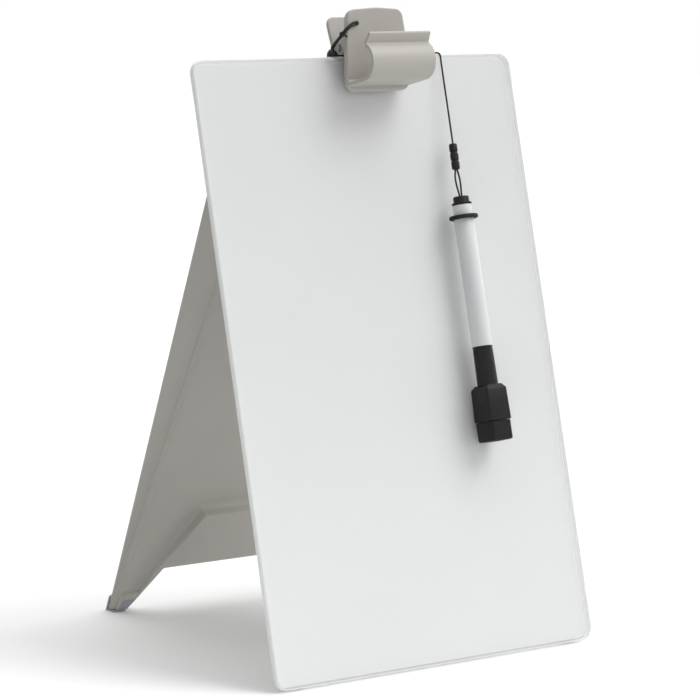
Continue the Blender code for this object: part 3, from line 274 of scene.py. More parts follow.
def drawn(name, mesh, axes=Matrix.Identity(4), material=None, angle=CREASE):
    """An object from a mesh that was drawn in its own axes, shaded where it has a finish."""
    data = plain(name, mesh)
    data.transform(axes)
    if material:
        shade(data, angle)
        data.materials.append(material)
    return link(name, data)


def soften(made, width, segments=3, angle=30):
    """A small round on the piece's edges, in millimetres."""
    edge = made.modifiers.new("round_edges", "BEVEL")
    edge.width = width * MM
    edge.segments = segments
    edge.limit_method = "ANGLE"
    edge.angle_limit = math.radians(angle)
    edge.harden_normals = True


def settle(made, body, replaces=()):
    """Lets a finished piece ride on its body and stand for its CAD nodes."""
    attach(made, body)
    for node in replaces:
        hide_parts(node)
    return made


def piece(name, mesh, material, body, axes, edge=0.0, replaces=(), segments=3):
    """A finished piece from a mesh that was drawn in its own axes."""
    made = drawn(name, mesh, axes, material)
    if edge:
        soften(made, edge, segments)
    return settle(made, body, replaces)


def turned(name, profile, material, body, axes, node, steps=72):
    """A piece turned on a lathe."""
    return piece(name, lathe(profile, steps), material, body, axes, 0, [node])


print("piece helpers ready")

# %% [markdown]
# A cord starts as a route of a few points and becomes one smooth curve. Its tube is a mesh with the UV map that
# the braid follows. Each free stretch keeps the place of its CAD solid: two strands are tied through the clip's
# hole, pass a knot and end in the bead; one cord lies along the board's top edge under the clip, and hangs down
# in front of the glass to the cord lock; and two strands run on from the lock into the pen's end.

# %% A smooth route
FINE_STEPS = 24
ROUNDING = 1e-9


def smooth(places, spacing):
    """Points at an even spacing along a smooth curve through places in millimetres."""
    places = [Vector(place) for place in places]
    places = [2 * places[0] - places[1]] + places + [2 * places[-1] - places[-2]]
    fine = []
    for before, start, end, after in zip(places, places[1:], places[2:], places[3:]):
        bend = 2 * before - 5 * start + 4 * end - after
        twist = 3 * start - before - 3 * end + after
        for step in range(FINE_STEPS):
            t = step / FINE_STEPS
            fine.append(start + ((end - before) * t + bend * t**2 + twist * t**3) / 2)
    fine.append(places[-2])
    length = sum((after - point).length for point, after in zip(fine, fine[1:]))
    count = max(3, round(length / spacing))
    route = [fine[0]]
    walked = 0.0
    due = length / count
    for point, after in zip(fine, fine[1:]):
        stride = (after - point).length
        while due <= walked + stride + ROUNDING and len(route) < count:
            route.append(point.lerp(after, (due - walked) / stride))
            due += length / count
        walked += stride
    return route + [fine[-1]]


print("steps between two places:", FINE_STEPS)

# %% The tube of a cord
CORD_RADIUS = 0.55 * MM
CORD_SIDES = 14
CORD_SPACING = 0.8


def tube(name, places, radius=CORD_RADIUS, spacing=CORD_SPACING, sides=CORD_SIDES):
    """A round cord along a smooth route, closed at both ends, with a UV map that runs along it."""
    route = [clip_axes @ (point * MM) for point in smooth(places, spacing)]
    mesh = bmesh.new()
    uv = mesh.loops.layers.uv.new("along_cord")
    ahead = (route[1] - route[0]).normalized()
    side = ahead.orthogonal().normalized()
    turns = [2 * math.pi * step / sides for step in range(sides)]
    rings = []
    walks = [0.0]
    for index, point in enumerate(route):
        heading = (route[min(index + 1, len(route) - 1)] - route[max(index - 1, 0)]).normalized()
        side = (ahead.rotation_difference(heading) @ side).normalized()
        ahead = heading
        across = ahead.cross(side)
        if index:
            walks.append(walks[-1] + (point - route[index - 1]).length)
        spokes = [math.cos(a) * side + math.sin(a) * across for a in turns]
        rings.append([mesh.verts.new(point + radius * spoke) for spoke in spokes])
    mesh.faces.new(rings[0])
    mesh.faces.new(rings[-1])
    for row in range(len(rings) - 1):
        for step in range(sides):
            corners = ((row, step), (row, step + 1), (row + 1, step + 1), (row + 1, step))
            face = mesh.faces.new([rings[ring][turn % sides] for ring, turn in corners])
            for loop, (ring, turn) in zip(face.loops, corners):
                loop[uv].uv = (walks[ring], turn / sides)
    bmesh.ops.recalc_face_normals(mesh, faces=mesh.faces)
    return drawn(name, mesh, material=braided_polyester, angle=60), route, walks[-1]


print("cord radius:", CORD_RADIUS)

# %% [markdown]
# The routes come next, in millimetres from the middle of the clip on the board's top edge. The places of knots,
# bead, edge and lock were read from the photograph.

# %% The routes of the cords
hitch_places = [(-14.2, -8.2, 17.0), (-14.2, -10.8, 17.0), (-14.9, -12.9, 16.9)]
hitch_places += [(-18.0, -13.3, 16.2), (-21.0, -12.9, 14.6), (-22.9, -11.3, 12.8)]
knot_place = (-23.9, -9.5, 11.2)
neck_places = [(-24.0, -7.2, 10.0), (-24.4, -4.3, 8.6), (-24.6, -1.2, 7.1)]
neck_places += [(-24.6, 0.7, 6.0), (-24.6, 1.5, 5.4), (-24.8, 1.8, 2.6)]
bead_place = (-25.2, 2.0, 0.3)
edge_places = [(-23.4, 2.0, 1.0), (-15.0, 2.0, 0.85), (15.0, 2.0, 0.85), (42.0, 2.0, 0.85)]
edge_places += [(47.5, 1.4, 1.0), (49.9, 0.2, 0.9), (50.8, -0.7, 0.1), (51.1, -0.9, -1.0)]
drop_places = [(51.1, -1.0, -1.0), (50.9, -1.2, -6.0), (50.2, -2.1, -20.0)]
drop_places += [(48.8, -4.0, -40.0), (47.5, -5.6, -55.7), (47.2, -5.8, -58.0)]
lock_top = Vector((47.3, -5.7, -56.0))
lock_foot = Vector((46.1, -7.1, -71.5))
# Both strands pass the same depths and heights, each with its own places from left to right.
strand_levels = [(-5.85, -58.4), (-6.9, -69.0), (-7.2, -71.9), (-7.6, -76.0)]
strand_levels += [(-8.3, -81.0), (-8.9, -86.0), (-9.0, -89.6)]
strand_across = {
    "left": (46.35, 45.6, 45.4, 44.2, 43.8, 44.2, 44.4),
    "right": (47.7, 46.9, 46.8, 47.2, 46.9, 46.1, 45.8),
}
print("lock length in mm:", round((lock_top - lock_foot).length, 2))

# %% [markdown]
# A knot is the cord wound round itself, so it is drawn as that: a trefoil loop of the same cord, pulled tight,
# with its cut end standing out. The bead is a moulded dome that stops the cord at the board's top edge.

# %% Knots and bead
KNOT_STEPS = 48
KNOT_SIDES = 10
KNOT_SPACING = 0.3
TIGHT_RADIUS = 0.52 * MM
CUT_END_RADIUS = 0.5 * MM


def knot(name, place, size, tail, node):
    """A tight trefoil of cord with its middle at a place in the clip's axes, and its cut end."""
    loop = []
    for step in range(KNOT_STEPS + 1):
        t = 2 * math.pi * step / KNOT_STEPS
        x = math.sin(t) + 2 * math.sin(2 * t)
        z = math.cos(t) - 2 * math.cos(2 * t)
        loop.append(Vector(place) + Vector((x, -1.5 * math.sin(3 * t), z)) * size)
    end_places = [Vector(place) + Vector(tail) * share for share in (0, 0.5, 1)]
    made = tube(name, loop, TIGHT_RADIUS, KNOT_SPACING, KNOT_SIDES)[0]
    end = tube("cut_end", end_places, CUT_END_RADIUS, KNOT_SPACING, KNOT_SIDES)[0]
    both = bmesh.new()
    for part in (made, end):
        both.from_mesh(part.data)
    both.to_mesh(made.data)
    both.free()
    bpy.data.objects.remove(end, do_unlink=True)
    return settle(made, "clip", [node])


tie_knot = knot("tie_knot", knot_place, 0.46, (2.6, -0.9, -1.9), "hitch_knot")
knot("hole_knot", (-14.2, -5.6, 17.0), 0.37, (0.6, 1.8, -0.6), "stop_knot")
dome = [(0, 0), (3.05, 0), (3.3, 0.2), (3.27, 0.8), (3.14, 1.6), (2.9, 2.4), (2.5, 3.1), (2.05, 3.65)]
dome += [(1.6, 4.1), (1.45, 4.32), (1.25, 4.4), (0, 4.4)]
bead_axes = clip_axes @ moved(*bead_place)
bead = turned(
    "cord_stop_bead", dome, black_polypropylene, "clip", bead_axes,
    "lanyard_bead", steps=48,
)
print("bead faces:", len(bead.data.polygons))

# %% [markdown]
# The cord lock is a barrel-shaped slider with two grooves for the fingers. A lathe profile gives it a slight
# belly, and the grooves are cut into the profile itself.

# %% Cord lock
GROOVE_PLACES = (-2.6, 2.6)
lock_profile = [(0, -7.8), (2.05, -7.8), (2.3, -7.6), (2.42, -7.2)]
for middle in GROOVE_PLACES:
    lock_profile += [(2.5, middle - 1.0), (2.46, middle - 0.7), (2.12, middle - 0.5)]
    lock_profile += [(2.12, middle + 0.5), (2.46, middle + 0.7), (2.5, middle + 1.0)]
lock_profile += [(2.42, 7.2), (2.3, 7.6), (2.05, 7.8), (0, 7.8)]
lock_turn = (lock_top - lock_foot).to_track_quat("Z", "Y").to_matrix().to_4x4()
lock_axes = clip_axes @ moved(*(lock_top + lock_foot) / 2) @ lock_turn
lock = turned(
    "cord_lock_slider", lock_profile, black_polypropylene, "pen", lock_axes,
    "cord_lock", steps=48,
)
print("grooves in the lock:", len(GROOVE_PLACES))

# %% [markdown]
# Each cord is laid along its route, rides on its body in place of its CAD solids, and its length is kept and
# printed. The two strands at the clip are one route, moved a little apart.

STRAND_OFFSET = 0.68
KNOT_OFFSET = 0.35
cord_lengths = {}


def offset(places, shift):
    return [tuple(Vector(place) + Vector(shift)) for place in places]


def declare(name, places, body, nodes):
    """A cord along its route, on its body, with its length kept."""
    made, route, length = tube(name, places)
    settle(made, body, nodes)
    cord_lengths[name] = round(length, 4)


for name, side, nodes, others in (
    ("tie_strand_upper", 1, ["hitch_cord_upper", "neck_cord_left"], [tie_knot]),
    ("tie_strand_lower", -1, ["hitch_cord_lower", "neck_cord_right"], []),
):
    places = offset(hitch_places, (0, 0, side * STRAND_OFFSET))
    places += offset([knot_place], (-side * KNOT_OFFSET, 0, side * KNOT_OFFSET))
    places += offset(neck_places, (-side * STRAND_OFFSET, 0, 0))
    declare(name, places, "clip", nodes)
declare("edge_run", edge_places, "clip", ["lanyard_top_run"])
declare("pen_drop", drop_places, "pen", ["lanyard_drop"])
for side, across in strand_across.items():
    places = [(x, y, z) for x, (y, z) in zip(across, strand_levels)]
    declare(f"pen_strand_{side}", places, "pen", [f"pen_loop_{side}"])
print("cord lengths in metres:", cord_lengths)

# %% [markdown]
# The board is a sheet of toughened float glass. Its faces are as flat and bright as a mirror, and its edges are
# ground, which leaves them pale and frosted. A coat of white ceramic paint is fired on its back, so the glass
# itself can be thin to the eye: a clear layer of real thickness that lets the white through. The coat stops short
# of the edge. Past it there is glass alone, greyer: partly its own tint, partly painted shade. Glass and ground
# edges let most of the light through to the coat, so Light Path makes them clearer to the rays that measure
# shadow.

# %% Finish: toughened glass
float_glass = grained("polished_float_glass", "E4E5E5", 0.03, 90, 1.0, raised_mm=0.02, IOR=1.52, Alpha=0.22)
ground_glass = grained(
    "ground_glass_edge", "ECEEEE", 0.45, 0.5, 4.0, (0.2, 1, 1), gloss=(0.35, 0.55), raised_mm=0.006, IOR=1.52
)
# The band where the coat stops is grey: partly the glass's tint, partly painted shade for light that passes
# through it.
glass_band_tint_and_shade = grained("glass_band_tint_and_painted_shade", "D6D8D8", 0.04, 40, 1.0, gloss=(0.03, 0.06), IOR=1.52)
SHADOW_ALPHA = 0.12
for made, alpha in ((ground_glass, 0.75), (glass_band_tint_and_shade, 0.8)):
    tree = made.node_tree
    ray = add(tree, "ShaderNodeLightPath").outputs["Is Shadow Ray"]
    faint = add(tree, "ShaderNodeMapRange", {"Value": ray, "To Min": alpha, "To Max": SHADOW_ALPHA})
    tree.links.new(first(faint), tree.nodes["Principled BSDF"].inputs["Alpha"])
print("glass finishes ready")

# %% [markdown]
# The sheet, like the other flat pieces, starts as an outline with round corners. A loft joins such outlines into
# a closed solid. A box with bevels would do as well, but here every level keeps a radius of its own.

# %% Helpers for outlines and lofts
ARC_STEPS = 10


def rounded(corners, radii, steps=ARC_STEPS):
    """The outline of a polygon whose corners have the given radii."""
    outline = []
    for index, radius in enumerate(radii):
        corner = Vector(corners[index])
        before = (Vector(corners[index - 1]) - corner).normalized()
        after = (Vector(corners[(index + 1) % len(corners)]) - corner).normalized()
        half = before.angle(after) / 2
        centre = corner + (before + after).normalized() * (radius / math.sin(half))
        start = corner + before * (radius / math.tan(half)) - centre
        turn = (math.pi - 2 * half) * (1 if before.cross(after) < 0 else -1)
        for step in range(steps + 1):
            outline.append(tuple(centre + Matrix.Rotation(turn * step / steps, 2) @ start))
    return outline


def box_outline(width, height, radius, middle=(0, 0), steps=ARC_STEPS):
    """The outline of a box with round corners."""
    signs = ((-1, -1), (1, -1), (1, 1), (-1, 1))
    corners = [(middle[0] + x * width / 2, middle[1] + y * height / 2) for x, y in signs]
    return rounded(corners, [radius] * 4, steps)


def loft(rings, target=None):
    """A closed solid through rings of equally many points."""
    mesh = target or bmesh.new()
    loops = [[mesh.verts.new(Vector(place) * MM) for place in ring] for ring in rings]
    faces = [mesh.faces.new(loops[0]), mesh.faces.new(loops[-1])]
    for lower, upper in zip(loops, loops[1:]):
        for index in range(len(lower)):
            faces.append(mesh.faces.new((lower[index - 1], lower[index], upper[index], upper[index - 1])))
    bmesh.ops.recalc_face_normals(mesh, faces=faces)
    return mesh


print("outline helpers ready")

# %% Glass panel with ground edges
GLASS_WIDTH = 227.1
GLASS_HEIGHT = 360.0
GLASS_DEPTH = 4.0
GLASS_CORNER = 8.0
GLASS_ARRIS = 0.6
GLASS_CORNER_STEPS = 14
COAT_INSET = 1.7
FACING = 0.95


def glass_rings(levels):
    """Outlines of the sheet at (depth, inset) levels."""
    rings = []
    for depth, inset in levels:
        size = (GLASS_WIDTH - 2 * inset, GLASS_HEIGHT - 2 * inset, GLASS_CORNER - inset)
        outline = box_outline(*size, (0, GLASS_HEIGHT / 2), GLASS_CORNER_STEPS)
        rings.append([(x, depth, z) for x, z in outline])
    return rings


front = [(0, GLASS_ARRIS), (GLASS_ARRIS, 0)]
back = [(GLASS_DEPTH - GLASS_ARRIS, 0), (GLASS_DEPTH, GLASS_ARRIS), (GLASS_DEPTH, COAT_INSET)]
mesh = loft(glass_rings(front + back))
glass = piece("glass_board", mesh, float_glass, "board", board_axes, 0, ["glass_panel"])
glass.data.materials.append(ground_glass)
glass.data.materials.append(glass_band_tint_and_shade)
backwards = board_axes.to_3x3() @ Vector((0, 1, 0))
for face in glass.data.polygons:
    flat = abs(face.normal.dot(backwards)) > FACING
    face.material_index = (0 if len(face.vertices) > 4 else 2) if flat else 1
print("glass faces:", len(glass.data.polygons))

# %% [markdown]
# The coat is screen-printed ceramic paint, fused into the glass: pure white and even, with the faintest cloud
# where the print is thicker. It lies just inside the back face.

# %% White coat on the back of the glass
COAT_DEPTHS = (GLASS_DEPTH - 0.25, GLASS_DEPTH - 0.05)
ceramic_paint = grained(
    "white_fired_ceramic_paint", "E8E9E9", 0.4, 60, 2.0,
    tones=("E6E7E7", "EAEBEB"), gloss=(0.36, 0.44), IOR=1.5,
)
mesh = loft(glass_rings([(depth, COAT_INSET) for depth in COAT_DEPTHS]))
piece("fired_white_coat", mesh, ceramic_paint, "board", board_axes)
print("coat inset in mm:", COAT_INSET)

# %% [markdown]
# Behind the glass is thin sheet steel with a white vitreous enamel, which makes the board magnetic. Enamel is
# glass fused to the metal: white, glossy, with the slight orange peel of a sprayed coat.

# %% Finish: white enamel


def dress(node, material):
    """Gives a finish to a CAD node that keeps its own shape."""
    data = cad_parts[node].data
    data.materials.clear()
    data.materials.append(material)


white_enamel = grained(
    "white_vitreous_enamel", "E9EAEA", 0.22, 2.2, 2.0, gloss=(0.18, 0.28), raised_mm=0.01, IOR=1.5
)
dress("steel_backing_sheet", white_enamel)
print("enamel on steel_backing_sheet")

# %% [markdown]
# Stand, hinge rail and clip are moulded in ABS of one warm grey. The mould was spark-eroded, which leaves a fine
# matt grain. The real grain is a few tenths of a millimetre; it is drawn at 0.9 mm, so that it shows at all.
# Slow changes in tone stand for flow in the mould and for handling.

# %% Finish: spark-textured ABS
grey_abs = finish("warm_grey_spark_textured_abs", "B7B4AD", 0.5, IOR=1.52)
tree = grey_abs.node_tree
spark = grain(tree, 0.9, 4.0)
both = add(tree, "ShaderNodeMix", {"Factor": 0.3, "A": grain(tree, 38, 2.0), "B": spark}, data_type="FLOAT")
patterned(grey_abs, both, tones=("B0ADA6", "BEBBB4"))
patterned(grey_abs, spark, gloss=(0.42, 0.6), raised_mm=0.03)
print("ABS finish ready")

# %% [markdown]
# The stand's front is the piece that the photograph shows best. A flat leg panel runs down from the hinge, and a
# platform rises out of it just above the cut between the legs. The platform meets the panel in a cove, while its
# own edge is crisp, and it runs on down each leg as a narrowing rim that ends in a block at the foot. Along its
# sides the panel stands a little proud of the slanting flanks, in a small step. Boxes with bevels can't give a
# cove that changes width, so the front is a grid whose rows and columns follow those lines, with its depth worked
# out from the distance to the platform's outline.

# %% Sizes of the stand's front, in millimetres down from the hinge
STAND_TOP = 8.0
PLATFORM_TOP = 266.7365
CUT_TOP = 306.2365
BLOCK_TOP = 325.0365
TONGUE_TOP = 329.5365
TIP = 337.8365
PLATFORM_RISE = 8.5
PLATFORM_FALL = math.tan(math.radians(5.23))
# Each pair is a size at the upper and at the lower end of its stretch.
FACE_WIDTHS = (118.3, 167.6)
CUT_WIDTHS = (116.1, 152.9)
PLATFORM_HALVES = (38.75, 62.45)
RIM_WIDTHS = (4.4, 2.1)


def between(ends, drop, top=STAND_TOP, foot=TIP):
    """A size that changes evenly down the stand."""
    return ends[0] + (ends[1] - ends[0]) * (drop - top) / (foot - top)


def face_half(drop):
    return between(FACE_WIDTHS, drop) / 2


def cut_half(drop):
    return between(CUT_WIDTHS, drop, CUT_TOP) / 2


def rise_at(drop):
    """How far the platform stands out of the panel, which grows less towards the feet."""
    return PLATFORM_RISE - max(drop - PLATFORM_TOP, 0) * PLATFORM_FALL


def rim_half(drop):
    """Half the width of the platform and, lower down, the outer side of the rim."""
    if drop <= CUT_TOP:
        return between(PLATFORM_HALVES, max(drop, PLATFORM_TOP), PLATFORM_TOP, CUT_TOP)
    return cut_half(drop) + between(RIM_WIDTHS, min(drop, BLOCK_TOP), CUT_TOP, BLOCK_TOP)


print("the panel's half width at top and foot, in mm:", face_half(STAND_TOP), round(face_half(TIP), 2))

# %% The raised outline, and the depth of the front at a point
BLOCK_INSET = 0.6
OVERRUN = 9
PAST_MIDDLE = -5.0
SKIN_PROUD = 0.05
PANEL_STEP = 0.9
EDGE = 0.8
WALL_DRAFT = 0.7
WIDEST_COVE = 4.0
COVE_SHARE = 0.8
ROUNDING_UNDER_ROOT = 1e-9
raised_outline = [
    (PAST_MIDDLE, PLATFORM_TOP),
    (PLATFORM_HALVES[0], PLATFORM_TOP),
    (PLATFORM_HALVES[1], CUT_TOP),
    (cut_half(BLOCK_TOP) + RIM_WIDTHS[1], BLOCK_TOP),
    (face_half(BLOCK_TOP) - BLOCK_INSET, BLOCK_TOP),
    (face_half(TIP + OVERRUN) - BLOCK_INSET, TIP + OVERRUN),
    (PAST_MIDDLE, TIP + OVERRUN),
]


def outside(x, drop):
    """How far a point lies outside the raised outline, or, below zero, inside it."""
    point = Vector((x, drop))
    distances = []
    inside = False
    for start, end in zip(raised_outline, raised_outline[1:] + raised_outline[:1]):
        a, b = Vector(start), Vector(end)
        share = max(0, min(1, (point - a).dot(b - a) / (b - a).length_squared))
        distances.append((point - a - (b - a) * share).length)
        if (a.y > drop) != (b.y > drop) and x < a.x + (b.x - a.x) * (drop - a.y) / (b.y - a.y):
            inside = not inside
    return -min(distances) if inside else min(distances)


def cove_radius(drop):
    return min(WIDEST_COVE, COVE_SHARE * (rise_at(drop) - PANEL_STEP - EDGE))


def front_depth(x, drop):
    """The front's depth at a point: the panel, the cove, the steep wall, the crisp edge or the platform."""
    rise = rise_at(drop) - PANEL_STEP
    cove = cove_radius(drop)
    away = outside(abs(x), drop)
    if away >= WALL_DRAFT + cove:
        height = 0
    elif away > WALL_DRAFT:
        height = cove * (1 - math.sqrt(1 - (1 - (away - WALL_DRAFT) / cove) ** 2))
    elif away > 0:
        height = rise - EDGE + (cove - rise + EDGE) * away / WALL_DRAFT
    elif away > -EDGE:
        height = rise - EDGE + EDGE * math.sqrt(1 - (1 + away / EDGE) ** 2 + ROUNDING_UNDER_ROOT)
    else:
        height = rise
    return -height - PANEL_STEP - SKIN_PROUD


print("rise of the platform at the cut, in mm:", round(rise_at(CUT_TOP), 2))

# %% [markdown]
# The grid is closest where the surface bends: over the crisp edge, down the wall, through the cove, and at the
# sides over the step and the round edge. Solidify gives the finished skin a wall.

# %% One row of the grid
FLANK_WIDTHS = (165.0, 171.3)
FLANK_DEPTHS = (13.0, 5.5)
FACE_ROUND = 1.5
FLANK_REACH = 0.5
PLATFORM_SLANT = 0.6
RIM_SLANT = 0.46
INNER_REACH = 1.6
INNER_COLUMNS = 8
OUTER_COLUMNS = 5
CREST_STEPS = [-1.3, -0.8, -0.74, -0.6, -0.4, -0.2, -0.06, 0, WALL_DRAFT / 2, WALL_DRAFT]
COVE_STEPS = (0.02, 0.08, 0.2, 0.36, 0.56, 0.8, 1.0, 1.2)


def arc(centre, radius, start, end, steps):
    """Points on an arc from one angle to another, both ends included."""
    angles = [start + (end - start) * step / steps for step in range(steps + 1)]
    return [(centre[0] + radius * math.cos(a), centre[1] + radius * math.sin(a)) for a in angles]


def away_steps(drop):
    """Distances from the raised outline at which the front bends."""
    return CREST_STEPS + [WALL_DRAFT + cove_radius(drop) * share for share in COVE_STEPS]


def wrapped_edge(drop):
    """Points over the step and the round edge between the panel's face and its flank, as (x, depth)."""
    slope = (between(FLANK_WIDTHS, drop) / 2 - face_half(drop)) / between(FLANK_DEPTHS, drop)
    turn = math.atan2(1, slope)
    radius = FACE_ROUND / math.tan(turn / 2)
    middle = (face_half(drop) - FACE_ROUND, radius)
    points = arc(middle, radius + SKIN_PROUD, (turn - math.pi) / 2, turn - math.pi / 2, 4)
    (x, depth), (last_x, last_depth) = points[0], points[-1]
    top = -PANEL_STEP - SKIN_PROUD
    head = [(x - 0.75, top), (x - 0.55, top + 0.06), (x - 0.42, top + 0.22), (x - 0.08, depth - 0.16)]
    return head + points + [(last_x + FLANK_REACH * math.cos(turn), last_depth + FLANK_REACH * math.sin(turn))]


def columns(drop, start):
    """The x places of one row of the face, from its inner end to its round edge."""
    rim = rim_half(drop)
    slant = 1 / math.cos(math.atan(PLATFORM_SLANT if drop < CUT_TOP else RIM_SLANT))
    last = face_half(drop) - FACE_ROUND
    inner = max(rim - INNER_REACH * slant, start)
    xs = [start + (inner - start) * step / INNER_COLUMNS for step in range(INNER_COLUMNS + 1)]
    xs += [rim + step * slant for step in away_steps(drop)]
    xs += [xs[-1] + (last - xs[-1]) * step / OUTER_COLUMNS for step in range(1, OUTER_COLUMNS)]
    return [min(max(x, start), last) for x in xs]


print("points in a row of the panel:", len(columns(CUT_TOP, 0)) + len(wrapped_edge(CUT_TOP)))

# %% The grid of the stand's front
GRID_TOP = 16.5
GRID_FOOT = TONGUE_TOP - 0.3
PANEL_ROW = 8.0
LEG_ROW = 1.5
SKIN_THICKNESS = 1.2


def row_list(top, foot, line, step):
    """Rows from top to foot, close together where they cross the raised outline."""
    near = [line - away for away in away_steps(line)]
    rows = [top + step * count for count in range(int((foot - top) / step) + 1)] + [foot]
    rows = [drop for drop in rows if not min(near) < drop < max(near)]
    return sorted({round(drop, 4) for drop in rows + near if top <= drop <= foot})


def add_grid(mesh, drops, start_of, side):
    rows = []
    for drop in drops:
        points = [(x, front_depth(x, drop)) for x in columns(drop, start_of(drop))] + wrapped_edge(drop)
        rows.append([mesh.verts.new((side * x * MM, depth * MM, -drop * MM)) for x, depth in points])
    for upper, lower in zip(rows, rows[1:]):
        for index in range(len(upper) - 1):
            ring = (upper[index], upper[index + 1], lower[index + 1], lower[index])
            mesh.faces.new(ring if side < 0 else ring[::-1])


mesh = bmesh.new()
for side in (-1, 1):
    add_grid(mesh, row_list(GRID_TOP, CUT_TOP, PLATFORM_TOP, PANEL_ROW), lambda drop: 0, side)
    add_grid(mesh, row_list(CUT_TOP, GRID_FOOT, BLOCK_TOP, LEG_ROW), cut_half, side)
bmesh.ops.remove_doubles(mesh, verts=mesh.verts, dist=0.001 * MM)
bmesh.ops.dissolve_degenerate(mesh, edges=mesh.edges, dist=0.0005 * MM)
if sum(face.normal.y * face.calc_area() for face in mesh.faces) > 0:
    bmesh.ops.reverse_faces(mesh, faces=mesh.faces)
stand_front = piece("stand_front", mesh, grey_abs, "stand", stand_axes)
wall = stand_front.modifiers.new("wall", "SOLIDIFY")
wall.thickness = SKIN_THICKNESS * MM
wall.offset = -1
dress("stand_panel", grey_abs)
print("faces in the stand's front:", len(stand_front.data.polygons))

# %% [markdown]
# The feet are soft thermoplastic rubber of a lavender grey, pressed into the ends of the legs: matt, with a
# faint grain, and a little dusty. The copies of the CAD caps have their triangles merged and their edges rounded.

# %% Finish and pieces: rubber feet
WELD = 0.002 * MM


def refined(name, node, material, body, edge, segments=2):
    """A copy of a CAD node with its triangles merged into faces and its edges rounded."""
    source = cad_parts[node]
    mesh = bmesh.new()
    mesh.from_mesh(source.data)
    bmesh.ops.transform(mesh, matrix=source.matrix_world, verts=mesh.verts)
    bmesh.ops.remove_doubles(mesh, verts=mesh.verts, dist=WELD)
    bmesh.ops.dissolve_limit(mesh, angle_limit=math.radians(1), verts=mesh.verts, edges=mesh.edges)
    return piece(name, mesh, material, body, Matrix.Identity(4), edge, [node], segments=segments)


foot_rubber = grained(
    "lavender_grey_thermoplastic_rubber", "A5A3AF", 0.68, 1.1, 4.0,
    tones=("9C9AA6", "AEACB8"), gloss=(0.6, 0.8), raised_mm=0.03, IOR=1.5,
)
for side in ("left", "right"):
    refined(f"rubber_foot_{side}", f"foot_cap_{side}", foot_rubber, "stand", 0.2)
print("feet rounded by 0.2 mm")

# %% [markdown]
# Behind the lower edge of the board sit two clear bumpers, cast in soft polyurethane: slightly milky, with a wet
# gloss. The rail that carries the stand is held on by closed-cell foam tape, and its pins are zinc-plated steel.

# %% Finishes and pieces: bumpers, tape, rail and pins
clear_polyurethane = grained(
    "clear_cast_polyurethane", "D9DCDA", 0.22, 3.0, 2.0, gloss=(0.16, 0.3), IOR=1.5, Alpha=0.7
)
for side in ("left", "right"):
    refined(f"clear_bumper_{side}", f"board_foot_{side}", clear_polyurethane, "board", 0.6, 3)

FOAM_CELL = 0.7 * MM
foam_tape = finish("closed_cell_foam_tape", "8B8B88", 0.9)
tree = foam_tape.node_tree
place = add(tree, "ShaderNodeTexCoord").outputs["Object"]
cells = add(tree, "ShaderNodeTexVoronoi", {"Vector": place, "Scale": 1 / FOAM_CELL})
patterned(foam_tape, cells, tones=("6E6E6C", "9A9A97"), raised_mm=0.1)
dress("rail_tape", foam_tape)
refined("hinge_rail_moulding", "hinge_rail", grey_abs, "board", 0.35)

zinc_steel = grained(
    "zinc_plated_steel", "B9BBBD", 0.3, 0.8, tones=("AEB0B2", "C3C5C7"), gloss=(0.24, 0.4), Metallic=1.0
)
for side in ("left", "right"):
    refined(f"steel_pin_{side}", f"hinge_pin_{side}", zinc_steel, "board", 0.15)
print("rail, pins, tape and bumpers finished")

# %% [markdown]
# The clip's front jaw is one moulding: a leaning plate with rounded edges, two ears for the pivot behind it, and
# the trough that holds a pen. The plate is drawn as an outline between two leaning planes. The hole for the cord
# goes through it with a Boolean, because it is round and crosses one flat wall.

# %% Front plate
PLATE_LEAN = math.tan(math.radians(10.1))
PLATE_DEPTH, PLATE_FOOT = -4.9, -22.5
PLATE_THICKNESS = 4.165
HOLE_PLACE = (-14.2, -9.9, 17.0)
HOLE_RADIUS = 1.45
HOLE_REACH = 6


def front_slab(outline, near, far):
    """A solid between two faces of an outline drawn on X and Z, whose depths follow the height."""
    return loft([[(x, depth(z), z) for x, z in outline] for depth in (near, far)])


def plate_face(z):
    """The depth of the plate's front face at a height."""
    return PLATE_DEPTH - (z - PLATE_FOOT) * PLATE_LEAN


def plate_back(z):
    return plate_face(z) + PLATE_THICKNESS


def result_of(made):
    """The plain mesh that an object's modifiers make."""
    graph = bpy.context.evaluated_depsgraph_get()
    return bpy.data.meshes.new_from_object(made.evaluated_get(graph))


def cut(made, tool):
    """Takes one object out of another and leaves nothing behind but the result."""
    step = made.modifiers.new("hole", "BOOLEAN")
    step.object = tool
    step.solver = "EXACT"
    result = result_of(made)
    made.modifiers.clear()
    made.data = result
    bpy.data.objects.remove(tool, do_unlink=True)


plate_corners = [(22.6, -21.8), (21.0, 10), (18.6, 25), (0, 26.3), (-20.4, 25), (-21.7, 10), (-22.6, -21.8)]
plate_outline = rounded(plate_corners, [5.0, 40, 5.5, 60, 5.5, 40, 6.0])
front_plate = drawn("front_plate", front_slab(plate_outline, plate_face, plate_back), clip_axes, grey_abs)
soften(front_plate, 1.0, segments=4)
hole_axes = clip_axes @ moved(*HOLE_PLACE) @ Matrix.Rotation(math.pi / 2, 4, "X")
ends = (-HOLE_REACH, HOLE_REACH)
bore = lathe([(0, ends[0]), (HOLE_RADIUS, ends[0]), (HOLE_RADIUS, ends[1]), (0, ends[1])], steps=40)
cut(front_plate, drawn("cutter", bore, hole_axes))
settle(front_plate, "clip", ["clip_front_jaw"])
print("front plate faces:", len(front_plate.data.polygons))

# %% [markdown]
# Two ears behind the plate hold the pivot pin. Each one narrows from the plate to a round boss, so its outline is
# the convex one round both, and the solid is that outline pushed sideways.

# %% Ears behind the front plate
PIN_PLACE = (1.6, 5.3)
BOSS_RADIUS = 3.2
EAR_RISES = (1.5, 12.0)
EAR_SINK = 0.8
EAR_THICKNESS = 3
EAR_EDGE = 0.25


